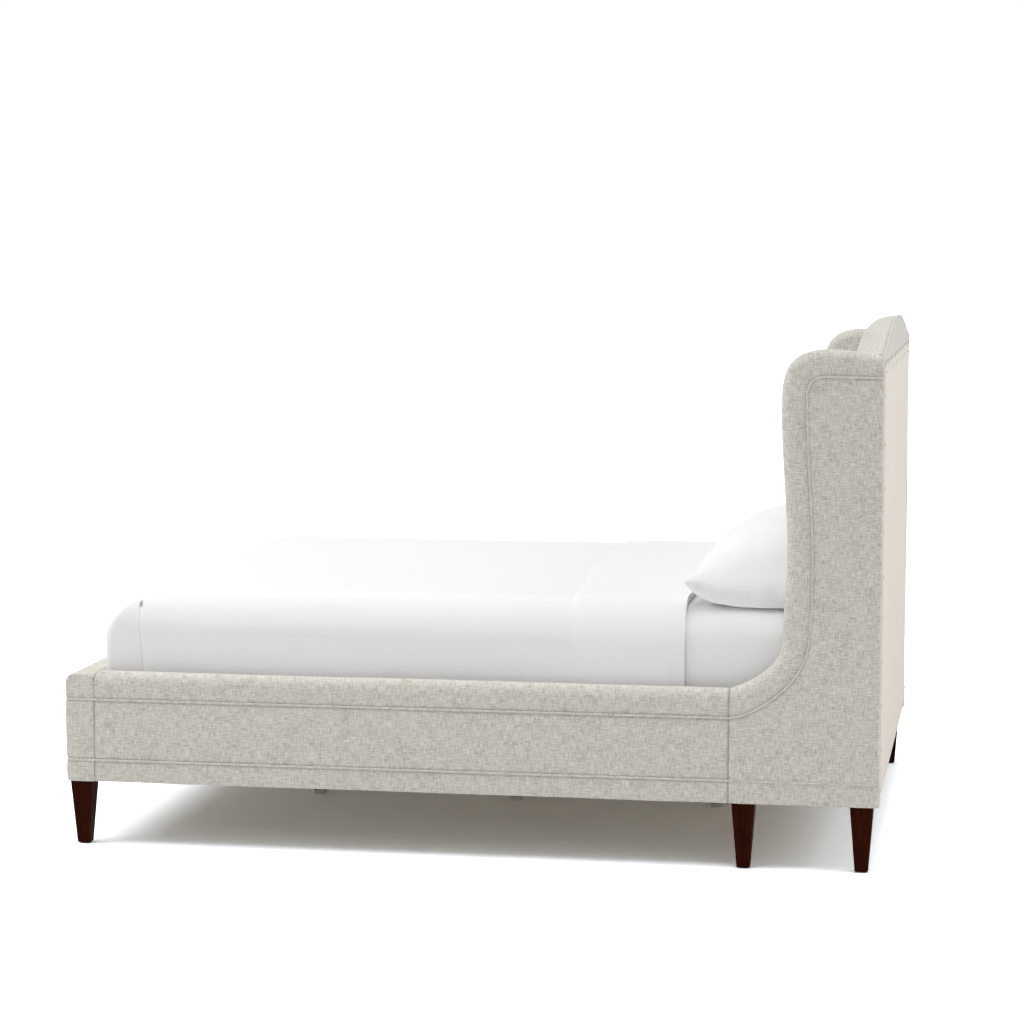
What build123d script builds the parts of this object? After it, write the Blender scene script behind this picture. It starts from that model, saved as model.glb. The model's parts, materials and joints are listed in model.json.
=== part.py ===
from build123d import *
import os
from math import cos, radians, sin

# Upholstered queen bed: camelback headboard between two wings that sweep up from the side rails,
# low footboard, tapered legs, slatted deck, mattress, bedding and two pillows.
# Millimetres. +Z is up, the foot of the bed is at -Y, and the origin is on the floor under the centre.

# Mattress that the bed is made for, and the room round it
mattress_width = 1524.0
mattress_length = 2032.0
mattress_height = 305.0
mattress_side_gap = 15.5
mattress_head_gap = 5.0

# Heights
leg_height = 178.0
rail_top_height = 482.0
footboard_drop = 5.0
wing_crest_height = 1380.0
crown_corner_height = 1364.0
crown_rise = 79.0

# Padded parts
side_thickness = 58.0
footboard_thickness = 78.0
headboard_thickness = 92.0
wing_base_depth = 397.0
wing_depth = 265.0
side_edge_round = 27.0
rail_end_round = 22.0
foot_top_round = 21.0
foot_corner_round = 9.0
head_front_round = 46.0

# Cloth
cover_thickness = 1.5
back_cloth_thickness = 1.5
welt_width = 7.0
welt_proud = 2.5
welt_round = 2.1
lower_welt_height = 238.0
upper_welt_height = 406.0
back_border_width = 55.5
back_border_drop = 18.0

# Timber of rails, wings and footboard
side_board_thickness = 28.0
side_foam = 14.5
board_top_margin = 34.0
wing_panel_margin = 30.0
foot_foam = 14.5
foot_frame_thickness = 40.0
foot_facing_thickness = 4.0
foot_rail_low_width = 90.0
foot_rail_top_width = 56.0
foot_stile_width = 80.0
foot_centre_stile_width = 130.0

# Headboard timber
frame_timber_thickness = 44.0
post_width = 60.0
back_frame_clearance = 20.0
bottom_rail_above_ledger = 11.0
mid_rail_centre = 926.0
mid_rail_width = 70.0
crown_rail_width = 110.0
crown_foam = 29.0
backing_thickness = 4.0

# Slatted deck
deck_height = 379.0
slat_thickness = 18.0
slat_width = 70.0
slat_count = 14
slat_end_gap = 2.0
ledger_width = 30.0
ledger_depth = 40.0
lip_above_deck = 4.0

# Centre support
beam_width = 45.0
beam_depth = 70.0
centre_leg_width = 45.0
centre_leg_spacing = 600.0
centre_leg_count = 3
centre_leg_clearance = 25.0
centre_bolt_in_leg = 50.0
foot_pad_diameter = 40.0
foot_pad_height = 10.0
foot_pad_edge = 2.0
foot_stem_diameter = 10.0
foot_stem_length = 52.0
foot_hole_gap = 0.08
foot_travel = 14.0
hanger_steel = 3.0
hanger_lip = 34.0
hanger_seat = 45.0

# Tapered legs
leg_top = 62.0
leg_bottom = 35.0
leg_edge_round = 2.0
leg_inset = 4.0
glide_height = 3.0
glide_diameter = 28.0
leg_bolt_diameter = 8.0
leg_bolt_in_leg = 45.0
leg_bolt_in_frame = 40.0
foot_leg_from_front = 38.0
wing_leg_from_seam = 39.0
rear_leg_from_back = 45.5

# Joining plates and their bolts
plate_thickness = 4.0
plate_length = 120.0
plate_height = 60.0
plate_below_middle = 7.5
bracket_leg = 48.0
bolt_diameter = 8.0
bolt_head_diameter = 14.0
bolt_head_height = 4.0
bolt_depth = 22.0
bolt_edge = 15.0

# Bedding
mattress_side_round = 70.0
mattress_foot_round = 150.0
mattress_corner_round = 60.0
sheet_thickness = 1.5
coverlet_thickness = 9.5
coverlet_top_thickness = 16.0
coverlet_side_round = 95.0
coverlet_foot_round = 165.0
coverlet_corner_round = 70.0
coverlet_skirt = 300.0
coverlet_from_foot = 4.0
coverlet_head_from_head = 430.0
fold_from_foot = 117.0
fold_step = 3.0
turn_down_length = 308.0
turn_down_thickness = 7.0
turn_down_side_thickness = 1.6
pillow_width = 424.0
pillow_rise_right = 166.0
pillow_rise_left = 113.0
pillow_drop = 70.0
pillow_draw_in = 12.0
pillow_gap = 16.0
pillow_side_gap = 12.0
pillow_head_gap = 9.0
body_gap = 0.4
overrun = 5.0

# Places that several pieces share
mattress_foot_gap = coverlet_from_foot + coverlet_thickness + sheet_thickness
inner_length = mattress_foot_gap + mattress_length + mattress_head_gap
bed_length = welt_proud + footboard_thickness + inner_length + headboard_thickness
x_inner = mattress_width / 2 + mattress_side_gap
x_side = x_inner + side_thickness
x_board_out = x_side - side_foam
x_board_in = x_board_out - side_board_thickness
y_front = -bed_length / 2 + welt_proud
y_facing = y_front + foot_foam
y_foot_frame = y_facing + foot_facing_thickness
y_foot_frame_in = y_foot_frame + foot_frame_thickness
y_foot_inner = y_front + footboard_thickness
y_back = bed_length / 2
y_frame_back = y_back - back_cloth_thickness
y_frame_front = y_frame_back - frame_timber_thickness
y_backing = y_frame_front - backing_thickness
y_seam = y_back - wing_base_depth
y_head = y_back - headboard_thickness
z_base = leg_height
z_lip = deck_height + lip_above_deck
z_board_top = rail_top_height - board_top_margin
z_crown = crown_corner_height + crown_rise
z_ledger_top = deck_height - slat_thickness
z_frame_low = z_base + back_frame_clearance
z_bottom_rail_top = z_ledger_top + bottom_rail_above_ledger
z_mid_rail = mid_rail_centre - mid_rail_width / 2
z_back_border = crown_corner_height - back_border_drop
z_mattress = deck_height + body_gap
z_sheet = z_mattress + mattress_height + sheet_thickness
y_mattress = y_foot_inner + mattress_foot_gap
x_leg = x_side - leg_inset - leg_top / 2
leg_places = (
    (x_leg, y_front + foot_leg_from_front),
    (x_leg, y_seam + wing_leg_from_seam),
    (x_leg, y_back - rear_leg_from_back),
)


def save(shape, name):
    """Write one node."""
    shape.label = name
    export_step(shape, f"parts/{name}.step")


def group(shapes):
    """Separate solids that share one node."""
    return Compound(children=list(shapes))


def block(x0, x1, y0, y1, z0, z1):
    """A box between two corners."""
    box = Box(abs(x1 - x0), abs(y1 - y0), abs(z1 - z0))
    return Pos((x0 + x1) / 2, (y0 + y1) / 2, (z0 + z1) / 2) * box


def mirror_x(shape):
    """The same piece on the other side of the bed."""
    return shape.mirror(Plane.YZ)


def both_sides(shapes):
    """Pieces of the +X side with their mirror images."""
    return [*shapes, *[mirror_x(s) for s in shapes]]


def save_pair(shape, name):
    """Write a piece of the +X side and its mirror image."""
    save(shape, f"{name}_right")
    save(mirror_x(shape), f"{name}_left")


def save_group_pair(shapes, name):
    """Write a group of the +X side and its mirror image."""
    save(group(shapes), f"{name}_right")
    save(group([mirror_x(s) for s in shapes]), f"{name}_left")


# Legs


def place_legs():
    """Centres of the six legs, as (x, y)."""
    return [(side * x, y) for side in (1, -1) for x, y in leg_places]


def tapered_leg(x, y):
    """A square leg that tapers evenly to its foot, with eased edges."""
    top = Pos(x, y, z_base) * RectangleRounded(leg_top, leg_top, leg_edge_round)
    foot = Pos(x, y, glide_height) * RectangleRounded(leg_bottom, leg_bottom, leg_edge_round)
    return loft([foot, top], ruled=True) - leg_bolt(x, y)


def leg_bolt(x, y):
    """Hanger bolt between a leg and the frame above it."""
    length = leg_bolt_in_leg + leg_bolt_in_frame
    z = z_base - leg_bolt_in_leg
    return Pos(x, y, z + length / 2) * Cylinder(leg_bolt_diameter / 2, length)


def leg_bolts():
    """All six hanger bolts."""
    return [leg_bolt(x, y) for x, y in place_legs()]


def make_legs():
    """Legs, their bolts, glides and the blocks that widen the wings' seats."""
    names = ("foot", "wing", "rear")
    for (x, y), name in zip(leg_places, names):
        save_pair(tapered_leg(x, y), f"{name}_leg")
    save(group(leg_bolts()), "leg_bolts")
    glides = [
        Pos(x, y, glide_height / 2) * Cylinder(glide_diameter / 2, glide_height)
        for x, y in place_legs()
    ]
    save(group(glides), "leg_glides")
    blocks = []
    for x, y in leg_places[1:]:
        y0, y1 = y - leg_top / 2, y + leg_top / 2
        seat = block(x - leg_top / 2, x_board_in, y0, y1, z_base, z_frame_low)
        blocks.append(seat - leg_bolt(x, y))
    save(group(both_sides(blocks)), "leg_blocks")


# Bolts, plates and brackets that join the timbers, half way between the bed's underside and the ledgers

z_ledger = z_ledger_top - ledger_depth
z_plate = (z_base + z_ledger - plate_height) / 2 - plate_below_middle


def bolt(length):
    """A bolt along +Z with the seat of its head at the origin and the head below it."""
    shank = Pos(0, 0, length / 2) * Cylinder(bolt_diameter / 2, length)
    head = Pos(0, 0, -bolt_head_height / 2) * Cylinder(bolt_head_diameter / 2, bolt_head_height)
    return shank + head


def plate_bolt_heights():
    """The two rows of bolts in a plate or bracket."""
    return (z_plate + bolt_edge, z_plate + plate_height - bolt_edge)


def post_bolt_heights():
    """Bolts of a headboard post, midway between the rails that meet it."""
    z_arch = crown_end_height(x_board_in) - crown_foam - crown_rail_width
    low = (z_bottom_rail_top + z_mid_rail) / 2
    return (low, (z_mid_rail + mid_rail_width + z_arch) / 2)


def joint_bolts():
    """Bolts of the +X side: foot bracket, head plate and headboard post."""
    outward = Rot(0, 90, 0)
    footward = Rot(90, 0, 0)
    x_seat = x_board_in - plate_thickness
    bolts = []
    for z in plate_bolt_heights():
        for y in (y_seam - plate_length / 4, y_seam + plate_length / 4):
            bolts.append(Pos(x_seat, y, z) * outward * bolt(bolt_depth + plate_thickness))
        y = y_foot_frame_in + bracket_leg - bolt_edge
        bolts.append(Pos(x_seat, y, z) * outward * bolt(bolt_depth + plate_thickness))
        x, y = x_board_in - bracket_leg + bolt_edge, y_foot_frame_in + plate_thickness
        bolts.append(Pos(x, y, z) * footward * bolt(bolt_depth + plate_thickness))
    for z in post_bolt_heights():
        y = y_frame_back - frame_timber_thickness / 2
        x = x_board_in - post_width
        bolts.append(Pos(x, y, z) * outward * bolt(post_width + bolt_depth))
    return bolts


def drilled(shape):
    """A timber or plate of the +X side with the holes of its bolts."""
    for one in [*joint_bolts(), *[leg_bolt(x, y) for x, y in leg_places]]:
        shape -= one
    return shape


def drilled_both(shape):
    """A timber that spans the bed, with the holes of both sides."""
    return mirror_x(drilled(mirror_x(drilled(shape))))


def make_joints():
    """Corner brackets, head plates and all their bolts."""
    z0, z1 = z_plate, z_plate + plate_height
    x0, y0 = x_board_in, y_foot_frame_in
    long_leg = block(x0 - plate_thickness, x0, y0, y0 + bracket_leg, z0, z1)
    short_leg = block(x0 - bracket_leg, x0, y0, y0 + plate_thickness, z0, z1)
    save(group(both_sides([drilled(long_leg + short_leg)])), "foot_corner_brackets")
    y0, y1 = y_seam - plate_length / 2, y_seam + plate_length / 2
    plate = block(x0 - plate_thickness, x0, y0, y1, z0, z1)
    save(group(both_sides([drilled(plate)])), "head_joint_plates")
    save(group(both_sides(joint_bolts())), "joint_bolts")


# Side rails


def rail_form(inset):
    """Padded +X rail with a bullnose top, wrapped round at its foot end."""
    x0, x1 = x_inner + inset, x_side - inset
    y0, z1 = y_foot_inner + inset, rail_top_height - inset
    bar = block(x0, x1, y0, y_seam, z_base, z1)
    end = bar.edges().filter_by(Axis.X).group_by(Axis.Z)[-1].sort_by(Axis.Y)[0]
    bar = fillet(end, rail_end_round - inset)
    nose = block(x0, x1, y0 - overrun, y_seam, z_base, z1)
    nose = fillet(nose.edges().filter_by(Axis.Y).group_by(Axis.Z)[-1], side_edge_round - inset)
    return (bar & nose) - rail_pocket()


def rail_pocket():
    """Open inner side of a rail below the lip of its cover."""
    return block(x_inner - overrun, x_board_in, y_front, y_back, z_base - overrun, z_lip)


def rail_board():
    """Timber board of the +X rail, which reaches to the footboard's frame."""
    return block(x_board_in, x_board_out, y_foot_frame_in, y_seam, z_base, z_board_top)


def make_rails():
    """Board, foam and cover of each side rail."""
    inner = rail_form(cover_thickness)
    save_pair(drilled(rail_board()), "rail_board")
    save_pair(inner - rail_board(), "rail_foam")
    save_pair(rail_form(0) - inner - rail_board(), "rail_cover")


# Footboard


def foot_form(inset):
    """Padded footboard with rounded long edges and flat boxed ends."""
    x1, y0, y1 = x_side - inset, y_front + inset, y_foot_inner - inset
    z1 = rail_top_height - footboard_drop - inset
    section = block(-x1, x1, y0, y1, z_base, z1)
    section = fillet(section.edges().filter_by(Axis.X).group_by(Axis.Z)[-1], foot_top_round - inset)
    plan = block(-x1, x1, y0, y1, z_base, z1)
    corners = plan.edges().filter_by(Axis.Z).group_by(Axis.Y)[0]
    form = section & fillet(corners, foot_corner_round - inset)
    pocket = block(-x_board_in, x_board_in, y_foot_frame_in, y_head, z_base - overrun, z_lip)
    return form - pocket - rail_board() - mirror_x(rail_board())


def make_footboard():
    """Frame, facing board, foam and cover of the footboard."""
    y0, y1 = y_foot_frame, y_foot_frame_in
    z_low, z_high = z_base + foot_rail_low_width, z_board_top - foot_rail_top_width
    low = block(-x_board_out, x_board_out, y0, y1, z_base, z_low)
    top = block(-x_board_out, x_board_out, y0, y1, z_high, z_board_top)
    save(group([drilled_both(low), top]), "footboard_rails")
    end = block(x_board_out - foot_stile_width, x_board_out, y0, y1, z_low, z_high)
    half = foot_centre_stile_width / 2
    centre = block(-half, half, y0, y1, z_low, z_high)
    save(group([*both_sides([drilled(end)]), centre]), "footboard_stiles")
    facing = block(-x_board_out, x_board_out, y_facing, y_foot_frame, z_base, z_board_top)
    save(facing, "footboard_facing")
    inner = foot_form(cover_thickness)
    core = block(-x_board_out, x_board_out, y_facing, y1, z_base, z_board_top)
    save(inner - core, "footboard_foam")
    save(foot_form(0) - inner - core, "footboard_cover")


# Headboard crown: one long arc over the middle, turned up into a counter arc at each shoulder.
# Shares are of the half width and of the crown's rise above the wing corners.
crown_bend_share = 0.645
crown_bend_height_share = 0.44
crown_end_slope_share = 0.055


def crown_end_height(half_span):
    """Height of the crown where it ends, on a gentle slope down to the wing corner."""
    return crown_corner_height + crown_end_slope_share * (x_side - half_span)


def crown_line(half_span, drop, y):
    """The crown from one side to the other at a place along the bed, lowered by drop."""
    bend_x = crown_bend_share * x_side
    bend_z = crown_corner_height + crown_bend_height_share * crown_rise - drop
    middle = ThreePointArc((-bend_x, y, bend_z), (0, y, z_crown - drop), (bend_x, y, bend_z))
    end = (half_span, y, crown_end_height(half_span) - drop)
    out = (1, 0, -crown_end_slope_share)
    right = Spline((bend_x, y, bend_z), end, tangents=[middle % 1, out])
    return [right.mirror(Plane.YZ), middle, right]


def crown_prism(half_span, drop, y0, y1, z0):
    """A block from y0 to y1 with the crown as its top."""
    z1 = crown_end_height(half_span) - drop
    edges = crown_line(half_span, drop, y0)
    edges.append(Line((half_span, y0, z1), (half_span, y0, z0)))
    edges.append(Line((half_span, y0, z0), (-half_span, y0, z0)))
    edges.append(Line((-half_span, y0, z0), (-half_span, y0, z1)))
    return extrude(make_face(Wire(edges)), amount=y1 - y0, dir=(0, 1, 0))


def headboard_form(inset):
    """Padded headboard between the wings' panels, open below, behind and at its ends."""
    y0 = y_head + inset
    shape = crown_prism(x_board_in, inset, y0, y_frame_back, z_lip)
    level = crown_corner_height - head_front_round
    rolled = []
    for edge in shape.edges():
        box = edge.bounding_box()
        if box.min.Z > level and box.max.Y < y0 + overrun:
            rolled.append(edge)
    return fillet(rolled, head_front_round - inset)


def make_headboard():
    """Frame, backing board, foam and cover of the headboard."""
    x_post = x_board_in - post_width
    y0, y1 = y_frame_front, y_frame_back
    posts = crown_prism(x_board_in, crown_foam, y0, y1, z_frame_low)
    posts -= block(-x_post, x_post, y0 - overrun, y1 + overrun, 0, z_crown)
    save(drilled_both(posts), "headboard_posts")
    below = crown_prism(x_board_in, crown_foam + crown_rail_width, y0 - overrun, y1 + overrun, 0)
    arch = crown_prism(x_board_in, crown_foam, y0, y1, z_frame_low) - below
    arch &= block(-x_post, x_post, y0, y1, 0, z_crown)
    save(arch, "headboard_top_rail")
    middle = block(-x_post, x_post, y0, y1, z_mid_rail, z_mid_rail + mid_rail_width)
    save(middle, "headboard_middle_rail")
    bottom = block(-x_post, x_post, y0, y1, z_frame_low, z_bottom_rail_top)
    save(bottom, "headboard_bottom_rail")
    save(crown_prism(x_board_in, crown_foam, y_backing, y0, z_lip), "headboard_backing_board")
    inner = headboard_form(cover_thickness)
    save(inner - crown_prism(x_board_in, crown_foam, y_backing, y1, z_lip), "headboard_foam")
    save(headboard_form(0) - inner, "headboard_cover")


def make_back():
    """Border of the main cloth round the back, and the muslin inside it."""
    x_edge, x_muslin = x_side - side_edge_round, x_side - back_border_width
    border = crown_prism(x_edge, 0, y_frame_back, y_back, z_base)
    border -= block(-x_muslin, x_muslin, y_head, y_back + overrun, 0, z_back_border)
    save(border, "back_border")
    muslin = block(-x_muslin, x_muslin, y_frame_back, y_back, z_frame_low, z_back_border)
    save(muslin, "back_muslin")


# Wing outline after the seam: each row is a share of the wing's depth forward of its back, a share of
# the height from the rail to the crest, and the direction of the edge in degrees.
wing_edge_shares = (
    (1.087, 0.069, 43),
    (0.966, 0.149, 90),
    (0.932, 0.374, 90),
    (1.000, 0.839, 90),
    (0.890, 0.966, 45),
    (0.543, 1.000, 0),
    (0.000, 0.983, -6),
)
wing_edge_start_angle = 17

# Line of the welt on the wing's face, in the same shares
wing_welt_shares = (
    (0.997, -0.0110, 40),
    (0.706, 0.1330, 82),
    (0.672, 0.3630, 90),
    (0.741, 0.8500, 90),
    (0.699, 0.9070, 45),
    (0.560, 0.9210, 0),
    (0.000, 0.9190, -1),
)
wing_welt_start_angle = 5


def wing_chain(shares, start_height, start_angle, inset, x, y_end):
    """Smooth edge from the seam through a table of shares, moved inward by inset."""
    rows = [(y_seam, start_height, start_angle)]
    for depth_share, height_share, angle in shares:
        y = y_frame_back - depth_share * wing_depth
        z = rail_top_height + height_share * (wing_crest_height - rail_top_height)
        rows.append((y, z, angle))
    points, tangents = [], []
    for i, (y, z, angle) in enumerate(rows):
        along_y, along_z = cos(radians(angle)), sin(radians(angle))
        if 0 < i < len(rows) - 1:
            points.append((x, y + inset * along_z, z - inset * along_y))
        else:
            points.append((x, y_seam if i == 0 else y_end, z - inset / along_y))
        tangents.append((0, along_y, along_z))
    spans = range(len(points) - 1)
    return [Spline(points[i], points[i + 1], tangents=tangents[i : i + 2]) for i in spans]


def wing_slab(inset, x0, x1, y_end):
    """A flat slab with the wing's outline."""
    chain = wing_chain(
        wing_edge_shares, rail_top_height, wing_edge_start_angle, inset, x0, y_end
    )
    back, seam = (x0, y_end, z_base), (x0, y_seam, z_base)
    edges = [*chain, Line(chain[-1] @ 1, back), Line(back, seam), Line(seam, chain[0] @ 0)]
    return extrude(make_face(Wire(edges)), amount=x1 - x0, dir=(1, 0, 0))


def is_rolled(edge):
    """True for the edges of a wing slab that run along its outline, on either face."""
    box = edge.bounding_box()
    across = box.max.X - box.min.X > overrun
    upright = box.max.Y - box.min.Y < overrun and box.min.Z < z_lip
    bottom = box.max.Z < z_lip
    return not (across or upright or bottom)


def wing_form(inset):
    """Padded +X wing with its rolled edge, open below and at the seam, cut back for the headboard."""
    slab = wing_slab(inset, x_inner + inset, x_side - inset, y_frame_back - inset)
    shape = fillet([e for e in slab.edges() if is_rolled(e)], side_edge_round - inset)
    behind = block(x_inner - overrun, x_board_in, y_head, y_back, z_base, z_crown)
    return shape - rail_pocket() - behind


def wing_core():
    """Timber panel of the +X wing."""
    return wing_slab(wing_panel_margin, x_board_in, x_board_out, y_frame_back - cover_thickness)


def make_wings():
    """Panel, foam and cover of each wing."""
    inner = wing_form(cover_thickness)
    core = wing_core()
    save_pair(drilled(core), "wing_panel")
    save_pair(inner - core, "wing_foam")
    save_pair(wing_form(0) - inner, "wing_cover")


# Welts


def rounded_bar(shape, keep):
    """Round the long edges of a welt's outer side, chosen by keep."""
    return fillet([e for e in shape.edges() if keep(e.bounding_box())], welt_round)


def side_welt(y0, y1, z):
    """Straight welt along the bed on the +X side."""
    half = welt_width / 2
    bar = block(x_side, x_side + welt_proud, y0, y1, z - half, z + half)
    return rounded_bar(bar, lambda b: b.min.X > x_side and b.max.Y - b.min.Y > welt_width)


def wing_edge_welt():
    """Welt that follows the wing's edge on its outer face."""
    half = welt_width / 2
    edges, ends = [], []
    for inset in (half, -half):
        chain = wing_chain(
            wing_welt_shares, upper_welt_height, wing_welt_start_angle, inset, x_side, y_frame_back
        )
        edges += chain
        ends.append((chain[0] @ 0, chain[-1] @ 1))
    edges += [Line(ends[0][0], ends[1][0]), Line(ends[0][1], ends[1][1])]
    bar = extrude(make_face(Wire(edges)), amount=welt_proud, dir=(1, 0, 0))
    return rounded_bar(bar, lambda b: b.min.X > x_side + welt_round and is_long(b))


def is_long(box):
    """True for the box of an edge that runs along a welt."""
    return box.diagonal > 2 * welt_width


def foot_welt(z):
    """Welt round the front and both ends of the footboard."""
    rings = []
    for grow in (welt_proud, 0):
        x1, y0 = x_side + grow, y_front - grow
        plan = block(-x1, x1, y0, y_foot_inner, z - welt_width / 2, z + welt_width / 2)
        corners = plan.edges().filter_by(Axis.Z).group_by(Axis.Y)[0]
        rings.append(fillet(corners, foot_corner_round + grow))
    return rings[0] - rings[1]


def crown_welt():
    """Welt along the back edge of the crown."""
    half_span = x_side - side_edge_round
    y0, y1 = y_frame_back - welt_width, y_frame_back
    z0 = crown_corner_height - crown_foam
    outer = crown_prism(half_span, -welt_proud, y0, y1, z0)
    return outer - crown_prism(half_span + overrun, 0, y0 - overrun, y1 + overrun, z0 - overrun)


def make_welts():
    """Welts of wings, rails, footboard and crown."""
    lower = side_welt(y_seam, y_frame_back, lower_welt_height)
    save_group_pair([wing_edge_welt(), lower], "wing_welts")
    heights = (upper_welt_height, lower_welt_height)
    rails = [side_welt(y_foot_inner, y_seam, z) for z in heights]
    save_group_pair(rails, "rail_welts")
    save(group([foot_welt(z) for z in heights]), "footboard_welts")
    save(crown_welt(), "headboard_welt")


# Slatted deck and its centre support


def make_deck():
    """Ledgers, slats, centre beam, hangers, centre legs and levelling feet."""
    x0, x1 = x_board_in - ledger_width, x_board_in
    ledger = block(x0, x1, y_foot_frame_in, y_frame_front, z_ledger, z_ledger_top)
    save(group(both_sides([ledger])), "slat_ledgers")

    y_first = y_mattress + slat_width / 2
    pitch = (mattress_length - slat_width) / (slat_count - 1)
    x_end = x_board_in - slat_end_gap
    slats = []
    for i in range(slat_count):
        y = y_first + i * pitch
        y0, y1 = y - slat_width / 2, y + slat_width / 2
        slats.append(block(-x_end, x_end, y0, y1, z_ledger_top, deck_height))
    save(group(slats), "slats")

    z_beam = z_ledger_top - beam_depth
    half = beam_width / 2
    beam = block(-half, half, y_foot_frame_in, y_frame_front, z_beam, z_ledger_top)
    places = centre_leg_places()
    bolts = [centre_bolt(y) for y in places]
    for one in bolts:
        beam -= one
    save(beam, "centre_beam")
    save(group(bolts), "centre_leg_bolts")
    hangers = [beam_hanger(y_foot_frame_in, 1, z_beam), beam_hanger(y_frame_front, -1, z_beam)]
    save(group(hangers), "beam_hangers")
    save(group([centre_leg(y, z_beam) for y in places]), "centre_legs")
    for number, y in enumerate(places, start=1):
        save(levelling_foot(y), f"levelling_foot_{number}")


def centre_leg_places():
    """Places of the centre legs along the bed."""
    middle = (centre_leg_count - 1) / 2
    return [(i - middle) * centre_leg_spacing for i in range(centre_leg_count)]


def centre_bolt(y):
    """Bolt down through the beam into a centre leg, with its head sunk flush."""
    length = beam_depth - bolt_head_height + centre_bolt_in_leg
    return Pos(0, y, z_ledger_top - bolt_head_height) * Rot(180, 0, 0) * bolt(length)


def centre_leg(y, z_beam):
    """Square centre leg with the hole of its levelling foot."""
    half = centre_leg_width / 2
    leg = block(-half, half, y - half, y + half, centre_leg_clearance, z_beam)
    depth = foot_pad_height + foot_stem_length + foot_travel + overrun
    hole = Cylinder(foot_stem_diameter / 2 + foot_hole_gap, 2 * depth)
    return leg - Pos(0, y, 0) * hole - centre_bolt(y)


def levelling_foot(y):
    """Pad and stem that stand on the floor under a centre leg."""
    pad = Pos(0, y, foot_pad_height / 2) * Cylinder(foot_pad_diameter / 2, foot_pad_height)
    pad = fillet(pad.edges().group_by(Axis.Z)[-1], foot_pad_edge)
    stem = Cylinder(foot_stem_diameter / 2, foot_stem_length)
    return pad + Pos(0, y, foot_pad_height + foot_stem_length / 2) * stem


def beam_hanger(y, toward, z_beam):
    """Bent steel hanger that carries one end of the centre beam, on the face at y."""
    t, half = hanger_steel, beam_width / 2
    y_seat, y_flange = y + toward * hanger_seat, y + toward * t
    outer = block(-half - t, half + t, y, y_seat, z_beam - t, z_ledger_top)
    flange = block(
        -half - hanger_lip, half + hanger_lip, y, y_flange, z_beam - t, z_ledger_top
    )
    return outer + flange - block(-half, half, y, y_seat, z_beam, z_ledger_top)


# Mattress and bedding


def foot_face(y0, y1, z0, z1, foot_round):
    """Side view of a soft slab whose top slopes away to its foot."""
    low, high = (0, y0, z1 - foot_round), (0, y0 + foot_round, z1)
    slope = Spline(low, high, tangents=[(0, 0, 1), (0, 1, 0)])
    corners = [high, (0, y1, z1), (0, y1, z0), (0, y0, z0), low]
    return make_face(Wire([slope, *[Line(a, b) for a, b in zip(corners, corners[1:])]]))


def soft_form(half_width, y0, y1, z0, z1, side_round, foot_round, corner_round):
    """A soft slab, rounded along its sides, at its foot and at its upright corners."""
    size = (-half_width, half_width, y0, y1, z0, z1)
    sides = block(*size)
    sides = fillet(sides.edges().filter_by(Axis.Y).group_by(Axis.Z)[-1], side_round)
    foot = extrude(foot_face(y0, y1, z0, z1, foot_round), amount=half_width, dir=(1, 0, 0), both=True)
    plan = block(*size)
    plan = fillet(plan.edges().filter_by(Axis.Z), corner_round)
    return sides & foot & plan


def mattress_form(grow):
    """The mattress, or the outside of a cloth of thickness grow on it."""
    y0, y1 = y_mattress - grow, y_mattress + mattress_length + grow
    half, z1 = mattress_width / 2 + grow, z_mattress + mattress_height + grow
    rounds = (mattress_side_round, mattress_foot_round, mattress_corner_round)
    return soft_form(half, y0, y1, z_mattress, z1, *[r + grow for r in rounds])


def coverlet_form(top_grow, side_grow):
    """Outside of the coverlet, or of the band that lies on it."""
    side = mattress_width / 2 + sheet_thickness + coverlet_thickness + side_grow
    y0, y1 = y_foot_inner + coverlet_from_foot, y_mattress + mattress_length
    z1 = z_sheet + coverlet_top_thickness + top_grow
    rounds = (coverlet_side_round, coverlet_foot_round, coverlet_corner_round)
    return soft_form(side, y0, y1, z_mattress, z1, *rounds)


def make_bedding():
    """Mattress, fitted sheet, coverlet and the band turned down at its head end."""
    save(mattress_form(0), "mattress")
    sheet = mattress_form(sheet_thickness)
    save(sheet - mattress_form(0), "fitted_sheet")

    y_end = y_head - coverlet_head_from_head
    z1 = z_crown
    z0 = z_sheet - coverlet_skirt
    wide = x_side
    reach = block(-wide, wide, y_foot_inner, y_end, z0, z1)
    outer = coverlet_form(0, 0)
    x_fold = mattress_width / 2 + sheet_thickness + coverlet_thickness - fold_step
    fold = block(x_fold, wide, y_foot_inner, y_foot_inner + fold_from_foot, 0, z1)
    tucked = outer - fold - mirror_x(fold)
    save((tucked & reach) - sheet, "coverlet")
    band_reach = block(-wide, wide, y_end - turn_down_length, y_end, z0, z1)
    band = coverlet_form(turn_down_thickness, turn_down_side_thickness)
    save((band & band_reach) - outer, "coverlet_turn_down")


# Sections of a pillow along its length: share of the half length, of the half width, of the fullness
pillow_section_shares = (
    (0.00, 0.930, 1.00),
    (0.30, 0.932, 0.97),
    (0.58, 0.942, 0.84),
    (0.80, 0.958, 0.60),
    (0.93, 0.978, 0.34),
    (1.00, 1.000, 0.10),
)


def pillow_section(x, y, z, half_width, rise, drop):
    """Lens across a pillow: an upper and a lower arc that meet in its seam."""
    front, back = (x, y - half_width, z), (x, y + half_width, z)
    top = ThreePointArc(front, (x, y, z + rise), back)
    bottom = ThreePointArc(back, (x, y, z - drop), front)
    return make_face(Wire([top, bottom]))


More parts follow.
